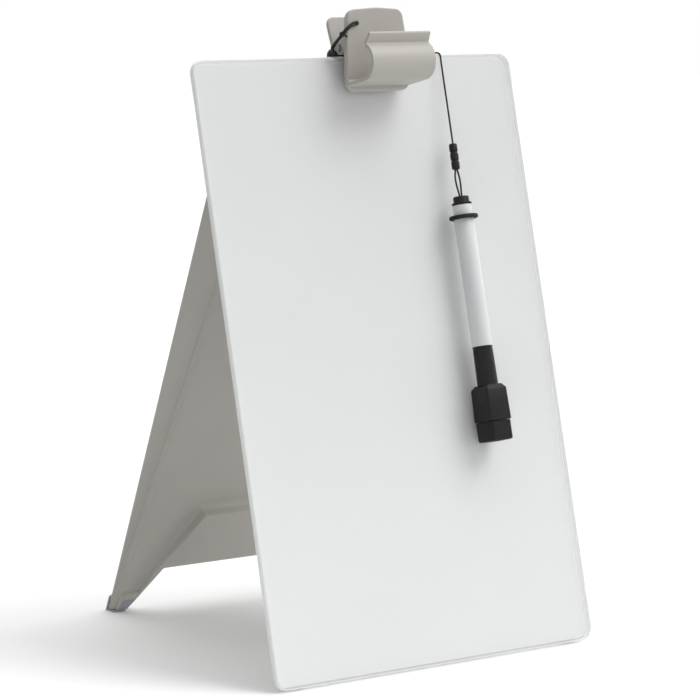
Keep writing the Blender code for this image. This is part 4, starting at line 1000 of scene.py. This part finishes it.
def side_slab(outline, near, far, target=None):
    """A solid between two faces of an outline drawn on Y and Z."""
    return loft([[(x, y, z) for y, z in outline] for x in (near, far)], target)


def convex(points):
    """The convex outline round some points."""
    ordered = sorted(set(points))
    outline = []
    for line in (ordered, ordered[::-1]):
        run = []
        for point in line:
            while len(run) > 1:
                a, b = Vector(run[-1]) - Vector(run[-2]), Vector(point) - Vector(run[-2])
                if a.cross(b) > 0:
                    break
                run.pop()
            run.append(point)
        outline += run[:-1]
    return outline


def add_ears(name, body, face, sink, outer):
    """A jaw's two pivot ears, from its inner face to their round bosses."""
    boss = arc(PIN_PLACE, BOSS_RADIUS, 0, 2 * math.pi, 40)[:-1]
    outline = convex(boss + [(face(rise) + sink, rise) for rise in EAR_RISES])
    mesh = bmesh.new()
    for side in (-1, 1):
        side_slab(outline, side * outer, side * (outer - EAR_THICKNESS), mesh)
    piece(name, mesh, grey_abs, body, clip_axes, EAR_EDGE)


add_ears("front_jaw_ears", "clip", plate_back, sink=-EAR_SINK, outer=20)
print("pivot pin at depth and height in mm:", PIN_PLACE)

# %% [markdown]
# The trough is one wall that keeps its section for its whole width, which is a rule, so Geometry Nodes make it:
# the tree fills the section's curve, pushes the face out by the width and closes the far end. The section is
# drawn in the script: a floor, a round front, a tight throat and a lip that flares out to guide the pen in.

# %% Section of the trough, as (depth, height) in millimetres
WALL = 2.2
TROUGH_FLOOR = -18.0
ROOT_SINK = 2.05
BOWL_RADIUS = 10.2
BOWL_MIDDLE = (-23.3, BOWL_RADIUS - 18.6)
THROAT_ANGLE = math.radians(128)
THROAT_RADIUS = 2.1
LIP_LEAN = math.radians(32.8)
LIP_LENGTH = 4.7


def trough_path():
    """The middle line of the wall, from the plate to the end of the lip."""
    root = (plate_back(TROUGH_FLOOR) - ROOT_SINK, TROUGH_FLOOR)
    bowl = arc(BOWL_MIDDLE, BOWL_RADIUS, -math.pi / 2, THROAT_ANGLE - 2 * math.pi, 40)
    reach = BOWL_RADIUS + THROAT_RADIUS
    pivot = (BOWL_MIDDLE[0] + reach * math.cos(THROAT_ANGLE), BOWL_MIDDLE[1] + reach * math.sin(THROAT_ANGLE))
    throat = arc(pivot, THROAT_RADIUS, THROAT_ANGLE - math.pi, LIP_LEAN, 12)
    lip = (throat[-1][0] - LIP_LENGTH * math.sin(LIP_LEAN), throat[-1][1] + LIP_LENGTH * math.cos(LIP_LEAN))
    return [root] + bowl + throat[1:] + [lip]


def wall_section(path):
    """A closed outline at half the wall's thickness on both sides of a path, with a round end."""
    front = []
    back = []
    for index, point in enumerate(path):
        along = (Vector(path[min(index + 1, len(path) - 1)]) - Vector(path[max(index - 1, 0)])).normalized()
        square = Vector((-along.y, along.x)) * WALL / 2
        front.append(tuple(Vector(point) + square))
        back.append(tuple(Vector(point) - square))
    end = arc(path[-1], WALL / 2, LIP_LEAN, LIP_LEAN + math.pi, 10)
    return back + end[1:-1] + front[::-1]


section = wall_section(trough_path())
section_curve = bpy.data.curves.new("trough_section", "CURVE")
section_curve.dimensions = "3D"
line = section_curve.splines.new("POLY")
line.points.add(len(section) - 1)
for point, (depth, height) in zip(line.points, section):
    point.co = (depth * MM, height * MM, 0, 1)
line.use_cyclic_u = True
print("points in the trough's section:", len(section))

# %% [markdown]
# A Geometry Nodes tree could be drawn by hand in the editor. Built here, its steps can be read one by one, and
# its sizes are named inputs. Each tree ends in real geometry with its finish, and its result is kept as a mesh.

# %% Helpers for Geometry Nodes trees


def group(name, sizes):
    """A new geometry tree with geometry in and out, and one named input for each size."""
    tree = bpy.data.node_groups.new(name, "GeometryNodeTree")
    tree.is_modifier = True
    sockets = [("Geometry", "Geometry", "INPUT")] + [(size, kind, "INPUT") for size, kind in sizes.items()]
    for size, kind, end in sockets + [("Geometry", "Geometry", "OUTPUT")]:
        tree.interface.new_socket(name=size, in_out=end, socket_type="NodeSocket" + kind)
    return tree, add(tree, "NodeGroupInput").outputs


def joined(tree, parts):
    """All parts as one geometry."""
    node = add(tree, "GeometryNodeJoinGeometry")
    for part in parts:
        tree.links.new(first(part), node.inputs["Geometry"])
    return node


def close_tree(tree, geometry, material):
    """Ends a tree with real geometry and its finish."""
    real = add(tree, "GeometryNodeRealizeInstances", {"Geometry": geometry})
    dressed = add(tree, "GeometryNodeSetMaterial", {"Geometry": real, "Material": material})
    add(tree, "NodeGroupOutput", {"Geometry": dressed})


def grown(name, data, tree, sizes, axes):
    """The plain mesh that a tree makes from a curve or mesh, moved to its place."""
    source = link(name + "_source", data)
    modifier = source.modifiers.new("grow", "NODES")
    modifier.node_group = tree
    for item in tree.interface.items_tree:
        if item.in_out == "INPUT" and item.name in sizes:
            modifier[item.identifier] = sizes[item.name]
    result = result_of(source)
    bpy.data.objects.remove(source, do_unlink=True)
    result.name = name
    result.transform(axes)
    return link(name, result)


print("tree helpers ready")

# %% Geometry Nodes tree that pushes a section out to a width
TROUGH_WIDTH = 45.2 * MM
LIP_FOOT = 1.0 * MM
LIP_SLANT = 0.27
tree, given = group("swept_trough", {"Width": "Float"})
filled = add(tree, "GeometryNodeFillCurve", {"Curve": given["Geometry"]}, mode="NGONS")
push = {"Mesh": filled, "Offset": (0, 0, 1), "Offset Scale": given["Width"], "Individual": False}
pushed = add(tree, "GeometryNodeExtrudeMesh", push)
flipped = add(tree, "GeometryNodeFlipFaces", {"Mesh": filled})
shell = joined(tree, [pushed, flipped])
welded = add(tree, "GeometryNodeMergeByDistance", {"Geometry": shell, "Distance": 0.001 * MM})
close_tree(tree, welded, grey_abs)
# Depth, height and width of the section's own axes become the clip's Y, Z and X.
onto_clip = Matrix(((0, 0, 1, -TROUGH_WIDTH / 2), (1, 0, 0, 0), (0, 1, 0, 0), (0, 0, 0, 1)))
trough = grown("pen_trough", section_curve, tree, {"Width": TROUGH_WIDTH}, clip_axes @ onto_clip)
mesh = bmesh.new()
mesh.from_mesh(trough.data)
bmesh.ops.recalc_face_normals(mesh, faces=mesh.faces)
# The lip's left end is cut at a slant, which widens towards the throat.
for vertex in mesh.verts:
    place = clip_axes.inverted() @ vertex.co
    if place.x < 0 and place.z > LIP_FOOT:
        place.x += (place.z - LIP_FOOT) * LIP_SLANT
        vertex.co = clip_axes @ place
mesh.to_mesh(trough.data)
mesh.free()
shade(trough.data, angle=40)
soften(trough, 0.45, angle=50)
settle(trough, "clip")
print("trough faces:", len(trough.data.polygons))

# %% [markdown]
# Where the trough's floor meets the plate, the mould leaves a round corner. It is a thin prism of its own, whose
# section is an arc with a foot in each wall.

# %% The round corner between plate and trough
FILLET = 3
FILLET_SINK = 1.1
FILLET_TOE = 1.4
FILLET_HALF = 22.35
floor_height = TROUGH_FLOOR + WALL / 2
corner = plate_face(floor_height)
curve = arc((corner - FILLET, floor_height + FILLET), FILLET, -math.pi / 2, 0, 10)
sunk = floor_height - FILLET_SINK
fillet = curve + [(curve[-1][0] + FILLET_TOE, curve[-1][1]), (corner + FILLET_SINK, sunk), (curve[0][0], sunk)]
mesh = side_slab(fillet, -FILLET_HALF, FILLET_HALF)
piece("trough_fillet", mesh, grey_abs, "clip", clip_axes)
print("fillet radius in mm:", FILLET)

# %% [markdown]
# The rear jaw is a thinner plate with wider shoulders, where a finger presses. It has two ears of its own, just
# inside those of the front jaw.

# %% Rear jaw
JAW_LEAN = math.tan(math.radians(5.1))
JAW_DEPTH, JAW_FOOT = 6.3, -20.6
JAW_THICKNESS = 2.61


def rear_face(z):
    return JAW_DEPTH + (z - JAW_FOOT) * JAW_LEAN


def rear_back(z):
    return rear_face(z) + JAW_THICKNESS


jaw_corners = [(18.65, -20.6), (18.65, 0), (19.3, 17.5), (19.3, 26.1)]
jaw_corners += [(-x, z) for x, z in reversed(jaw_corners)]
mesh = front_slab(rounded(jaw_corners, [5.0] * 8), rear_face, rear_back)
piece("rear_jaw_plate", mesh, grey_abs, "rear_jaw", clip_axes, 0.8, ["clip_rear_jaw"], 4)
add_ears("rear_jaw_ears", "rear_jaw", rear_face, sink=EAR_SINK, outer=16.5)
print("rear jaw ready")

# %% [markdown]
# The torsion spring is one piece of drawn wire: a coil round the pin, with a leg up each jaw. Its shape is pure
# rule, so a tree makes it. Every point takes its share of the way along the wire; the middle shares turn round
# the pin, and the first and last shares move out along a leg.

# %% Finish: spring wire
spring_wire = grained(
    "oiled_spring_wire", "6A6C6E", 0.32, 0.5, stretch=(0.15, 1, 1),
    tones=("5C5E60", "77797B"), gloss=(0.26, 0.42), Metallic=1.0,
)
print("spring wire ready")

# %% Where the spring's wire runs
WIRE_RADIUS = 0.5
COIL_RADIUS = 2.35
COIL_PITCH = 1.55
WHOLE_TURNS = 5
LEG_RISE = 13.5
WIRE_POINTS = 260
LEG_SHARE = 0.05
# How far the middle of each leg's end stands from its jaw.
FRONT_GAP = 0.81
REAR_GAP = 2.3
pin_at = Vector(PIN_PLACE)
tips = [Vector((depth, LEG_RISE)) for depth in (plate_back(LEG_RISE) + FRONT_GAP, rear_face(LEG_RISE) - REAR_GAP)]
angles = []
for tip, side in zip(tips, (1, -1)):
    away = tip - pin_at
    angles.append(math.atan2(away.y, away.x) + side * math.acos(COIL_RADIUS / away.length))
sweep = (angles[1] - angles[0]) % (2 * math.pi) + WHOLE_TURNS * 2 * math.pi


def leg(angle, tip):
    """From the wire's last point on the coil to the end of its leg."""
    start = pin_at + COIL_RADIUS * Vector((math.cos(angle), math.sin(angle)))
    return Vector((0, tip.x - start.x, tip.y - start.y)) * MM


print("turns of the coil:", round(sweep / (2 * math.pi), 2))

# %% Geometry Nodes tree for the spring
sizes = {
    "Sweep": sweep,
    "Start Angle": angles[0],
    "Coil Radius": COIL_RADIUS * MM,
    "Coil Width": COIL_PITCH * MM * sweep / (2 * math.pi),
    "Wire Radius": WIRE_RADIUS * MM,
    "First Leg": leg(angles[0], tips[0]),
    "Last Leg": leg(angles[1], tips[1]),
}
kinds = {size: "Vector" if "Leg" in size else "Float" for size in sizes}
tree, given = group("torsion_spring", kinds)
line = add(tree, "GeometryNodeMeshLine", {"Count": WIRE_POINTS})
index = add(tree, "GeometryNodeInputIndex")
share = add(tree, "ShaderNodeMath", {0: index, 1: WIRE_POINTS - 1.0}, operation="DIVIDE")
coil_part = {"Value": share, "From Min": LEG_SHARE, "From Max": 1 - LEG_SHARE}
on_coil = add(tree, "ShaderNodeMapRange", coil_part, clamp=True)
turn = add(tree, "ShaderNodeMath", {0: on_coil, 1: given["Sweep"]}, operation="MULTIPLY")
angle = add(tree, "ShaderNodeMath", {0: turn, 1: given["Start Angle"]}, operation="ADD")
spot = {"X": (add(tree, "ShaderNodeMath", {0: on_coil, 1: 0.5}, operation="SUBTRACT"), "Coil Width")}
for end, wave in (("Y", "COSINE"), ("Z", "SINE")):
    spot[end] = (add(tree, "ShaderNodeMath", {0: angle}, operation=wave), "Coil Radius")
for end, (part, size) in spot.items():
    spot[end] = add(tree, "ShaderNodeMath", {0: part, 1: given[size]}, operation="MULTIPLY")
place = add(tree, "ShaderNodeCombineXYZ", spot)
for name, low, high in (("First Leg", LEG_SHARE, 0.0), ("Last Leg", 1 - LEG_SHARE, 1.0)):
    out = add(tree, "ShaderNodeMapRange", {"Value": share, "From Min": low, "From Max": high}, clamp=True)
    moved_out = add(tree, "ShaderNodeVectorMath", {0: given[name], "Scale": out}, operation="SCALE")
    place = add(tree, "ShaderNodeVectorMath", {0: place, 1: moved_out}, operation="ADD")
bent = add(tree, "GeometryNodeSetPosition", {"Geometry": line, "Position": place})
path = add(tree, "GeometryNodeMeshToCurve", {"Mesh": bent})
circle = add(tree, "GeometryNodeCurvePrimitiveCircle", {"Resolution": 12, "Radius": given["Wire Radius"]})
wire = add(tree, "GeometryNodeCurveToMesh", {"Curve": path, "Profile Curve": circle, "Fill Caps": True})
close_tree(tree, wire, spring_wire)
spring_axes = clip_axes @ moved(0, *PIN_PLACE)
spring = grown("torsion_spring", bpy.data.meshes.new("spring_seed"), tree, sizes, spring_axes)
shade(spring.data, angle=50)
settle(spring, "clip", ["clip_spring"])
refined("pivot_pin", "clip_pivot_pin", spring_wire, "clip", 0.12)
print("spring faces:", len(spring.data.polygons))

# %% [markdown]
# Two pads of black nitrile rubber grip the glass. Nitrile is matt and slightly speckled, and so is the ring that
# slips over the pen.

# %% Finish and pieces: nitrile pads
nitrile = grained(
    "black_nitrile_rubber", "0B0C0C", 0.62, 0.6, 4.0,
    tones=("070808", "121313"), gloss=(0.52, 0.72), raised_mm=0.02, IOR=1.52, Specular_IOR_Level=0.3,
)
refined("front_grip_pad", "clip_front_pad", nitrile, "clip", 0.3)
refined("rear_grip_pad", "clip_rear_pad", nitrile, "rear_jaw", 0.3)
print("pads ready")

# %% [markdown]
# The pen's barrel is glossy white polypropylene, turned here on a lathe profile. A step near its top carries the
# rubber ring, and a black plug with a thin flange closes the end that the cord comes out of. All profiles are
# (radius, height) above the seam between barrel and cap.

# %% Finish and pieces: pen barrel, ring, plug and nose
RING_HEIGHT = 77.85
RING_THICKNESS = 2.4
white_polypropylene = grained(
    "white_glossy_polypropylene", "DDDEDF", 0.22, 6.0, 2.0, (1, 1, 0.2),
    tones=("D8D9DA", "E1E2E3"), gloss=(0.18, 0.28), IOR=1.49,
    Subsurface_Weight=0.1, Subsurface_Radius=(MM, MM, MM),
)
barrel = [(4.85, 0.15), (5.65, 0.15), (5.9, 0.25), (6.05, 0.55), (6.05, 77.45), (5.95, 77.7), (5.8, 77.85)]
barrel += [(5.8, 84.7), (5.7, 85.1), (5.4, 85.25), (4.85, 85.25)]
round_side = arc((7.7, RING_HEIGHT), RING_THICKNESS / 2, -math.pi / 2, math.pi / 2, 12)
ring = [(6.35, round_side[0][1])] + [(min(r, 8.7), z) for r, z in round_side] + [(6.35, round_side[-1][1])]
plug = [(0, 80.25), (4.55, 80.25), (4.55, 85.55), (5.9, 85.55), (6.0, 85.7), (6.0, 86.4), (5.9, 86.55)]
plug += [(4.85, 86.6), (4.75, 86.9), (4.75, 89.6), (4.6, 90.1), (4.2, 90.35), (1.9, 90.35), (1.7, 90.2)]
plug += [(1.7, 88.75), (0, 88.75)]
nose = [(4.55, 8.0), (4.55, -0.3), (4.5, -3.3), (4.2, -3.6), (2.75, -12.9), (2.6, -13.3)]
nose += [(1.6, -13.3), (1.6, 8.0)]
for name, profile, material, node, slot in (
    ("pen_tube", barrel, white_polypropylene, "pen_barrel", "white_plastic"),
    ("pen_grip_ring", ring, nitrile, "pen_ring", "black_pad_rubber"),
    ("pen_plug", plug, black_polypropylene, "pen_end_plug", "black_plastic"),
    ("pen_nose_cone", nose, black_polypropylene, "pen_nose", "black_plastic"),
):
    turned(name, profile, material, "pen", pen_axes, node)
print("pen barrel, ring, plug and nose ready")

# %% [markdown]
# Inside the cap is the writing end: a bullet of pressed acrylic fibre that drinks from a fibre reservoir. Both
# are matt and faintly striped along the pen. The cap's magnet is sintered ferrite, grey and slightly porous.

# %% Finish and pieces: fibres and magnet
pressed_fibre = grained(
    "pressed_acrylic_fibre", "121213", 0.92, 0.25, stretch=(1, 1, 0.1), tones=("0A0A0B", "1D1D1F"), raised_mm=0.03
)
nib = [(0, -17.8), (0.5, -17.7), (0.92, -17.42), (1.2, -17.0), (1.3, -16.5), (1.3, -3.8), (0, -3.8)]
turned("writing_nib", nib, pressed_fibre, "pen", pen_axes, "pen_nib")
wick_fibre = grained("reservoir_fibre", "4B4D55", 0.9, 0.4, stretch=(1, 1, 0.1), tones=("3C3E46", "5A5C64"))
dress("ink_reservoir", wick_fibre)
ferrite = grained("sintered_ferrite", "4A4A4C", 0.6, 0.5, 4.0, tones=("3E3E40", "57575A"), raised_mm=0.03)
dress("cap_magnet", ferrite)
print("fibres and magnet ready")

# %% [markdown]
# The cap is black and round, and it widens through four sloping shoulders into a square block. A lathe profile
# makes the round part and a loft through rounded squares makes the block, so each keeps its own clean edges.

# %% Cap and block
BLOCK_SIZE = (15.2, 17.4)


def block(size, levels, radius, share=0.0):
    """An upright block with round corners, through levels of (height, inset). Its radius can follow the inset."""
    rings = []
    for height, inset in levels:
        ring = box_outline(size[0] - 2 * inset, size[1] - 2 * inset, radius - share * inset, steps=6)
        rings.append([(x, y, height) for x, y in ring])
    return loft(rings)


cap = [(0, -23.2), (6.25, -23.2), (6.25, -22.6), (5.97, -1.75), (5.85, -1.6), (5.65, -1.55), (5.65, -1.0)]
cap += [(5.8, -0.95), (6.12, -0.9), (6.2, -0.8), (6.2, -0.4), (6.1, -0.22), (5.9, -0.15), (4.9, -0.15)]
cap += [(4.9, -20.0), (0, -20.0)]
turned("cap_tube", cap, black_polypropylene, "pen_cap", pen_axes, "pen_cap")
levels = [(-44.55, 0.3), (-44.45, 0.08), (-44.2, 0), (-25.7, 0.29), (-25.5, 0.35), (-25.35, 0.45)]
levels += [(-23.2, 2.0), (-23.05, 2.15)]
mesh = block(BLOCK_SIZE, levels, radius=1.0)
piece("cap_block", mesh, black_polypropylene, "pen_cap", pen_axes)
print("block width and depth in mm:", BLOCK_SIZE)

# %% [markdown]
# The eraser is a block of dense black wool felt. Felt is a mat of loose fibres, so its faces are covered with
# short tufts that catch the light at every angle. Geometry Nodes scatter them: points on the faces with a fixed
# seed, a thin three-sided cone on each, leaning at random.

# %% Finish: wool felt
wool_felt = grained(
    "black_wool_felt", "111112", 0.96, 0.45, 5.0,
    tones=("0A0A0B", "202021"), raised_mm=0.12, Sheen_Weight=0.06, Sheen_Roughness=0.5,
)
print("felt finish ready")

# %% Felt block and the tree that scatters its tufts
FELT_SIZE = (14.2, 16.4)
TUFT_RADIUS = 0.07 * MM
TUFT_LEAN = (0.9, 0.9, 3.1)
TUFTS = {"Density": 2.6e6, "Tuft Length": 0.6 * MM, "Seed": 7}
levels = [(-56.35, 0.7), (-56.2, 0.3), (-55.95, 0.1), (-55.6, 0), (-45.1, 0), (-44.85, 0.2)]
felt_body = plain("felt_body", block(FELT_SIZE, levels, radius=1.2, share=0.5))
tree, given = group("felt_tufts", {"Density": "Float", "Tuft Length": "Float", "Seed": "Int"})
scatter = {"Mesh": given["Geometry"], "Density": given["Density"], "Seed": given["Seed"]}
points = add(tree, "GeometryNodeDistributePointsOnFaces", scatter)
cone = {"Vertices": 3, "Radius Top": 0.0, "Radius Bottom": TUFT_RADIUS, "Depth": given["Tuft Length"]}
tuft = add(tree, "GeometryNodeMeshCone", cone)
limits = {"Min": [-part for part in TUFT_LEAN], "Max": TUFT_LEAN, "Seed": given["Seed"]}
lean = add(tree, "FunctionNodeRandomValue", limits, data_type="FLOAT_VECTOR")
upright = {"Rotation": points.outputs["Rotation"], "Rotate By": lean}
leaning = add(tree, "FunctionNodeRotateRotation", upright, rotation_space="LOCAL")
tufts = add(tree, "GeometryNodeInstanceOnPoints", {"Points": points, "Instance": tuft, "Rotation": leaning})
close_tree(tree, joined(tree, [given["Geometry"], tufts]), wool_felt)
felt = grown("eraser_pad", felt_body, tree, TUFTS, pen_axes)
shade(felt.data, angle=40)
settle(felt, "pen_cap", ["eraser_felt"])
print("felt faces:", len(felt.data.polygons))

# %% [markdown]
# The set is a plain pale floor under soft studio light. One wide lamp stands high on the right of the camera and
# throws the pen's soft shadow to the left. A second one stands overhead, and the world fills in, more from the
# right than from the left. What the camera sees of floor and world is white, and so is what shows in the glass
# and the metal. For all other rays the floor is a white table that ends in a greyer room.

# %% Floor
FLOOR_HALF = 6.0
TABLE_REACH = (0.45, 1.1)


def seen(tree):
    """One for the rays of the camera, of gloss and of glass, and zero for the others."""
    ray = add(tree, "ShaderNodeLightPath").outputs
    either = add(tree, "ShaderNodeMath", {0: ray["Is Camera Ray"], 1: ray["Is Glossy Ray"]}, operation="MAXIMUM")
    return add(tree, "ShaderNodeMath", {0: either, 1: ray["Is Transmission Ray"]}, operation="MAXIMUM")


floor_finish = finish("pale_floor", "F4F4F4", 0.9)
tree = floor_finish.node_tree
spot = add(tree, "ShaderNodeTexCoord").outputs["Object"]
reach = add(tree, "ShaderNodeVectorMath", {0: spot}, operation="LENGTH")
ends = {"From Min": TABLE_REACH[0], "From Max": TABLE_REACH[1], "To Min": 1.0, "To Max": 0.0}
table = add(tree, "ShaderNodeMapRange", {"Value": reach, **ends})
white = add(tree, "ShaderNodeMath", {0: table, 1: seen(tree)}, operation="MAXIMUM")
patterned(floor_finish, white, tones=("8A8A8A", "F4F4F4"))
mesh = bmesh.new()
bmesh.ops.create_grid(mesh, x_segments=8, y_segments=8, size=FLOOR_HALF)
drawn("floor", mesh, material=floor_finish)
print("floor side in metres:", 2 * FLOOR_HALF)

# %% World and lamps
WORLD_FILL = (0.06, 1.1)
world = bpy.data.worlds.new("studio")
world.use_nodes = True
tree = world.node_tree
background = tree.nodes["Background"]
sky = add(tree, "ShaderNodeSeparateXYZ", {"Vector": add(tree, "ShaderNodeTexCoord").outputs["Generated"]})
ends = {"From Min": -1.0, "From Max": 1.0, "To Min": WORLD_FILL[0], "To Max": WORLD_FILL[1]}
fill = add(tree, "ShaderNodeMapRange", {"Value": sky, **ends})
strength = add(tree, "ShaderNodeMath", {0: fill, 1: seen(tree)}, operation="MAXIMUM")
tree.links.new(first(strength), background.inputs["Strength"])
background.inputs["Color"].default_value = (1, 1, 1, 1)
bpy.context.scene.world = world

# Each lamp is a far one, as wide as a soft box in degrees, and shines from a direction.
for name, towards, spread, power in (
    ("key_softbox", (0.42, -0.46, 0.78), 35, 1.4),
    ("top_softbox", (0.05, 0.2, 0.97), 60, 1.1),
):
    data = bpy.data.lights.new(name, "SUN")
    data.angle = math.radians(spread)
    data.energy = power
    link(name, data).rotation_euler = Vector(towards).to_track_quat("Z", "Y").to_euler()
print("lamps: key and top")
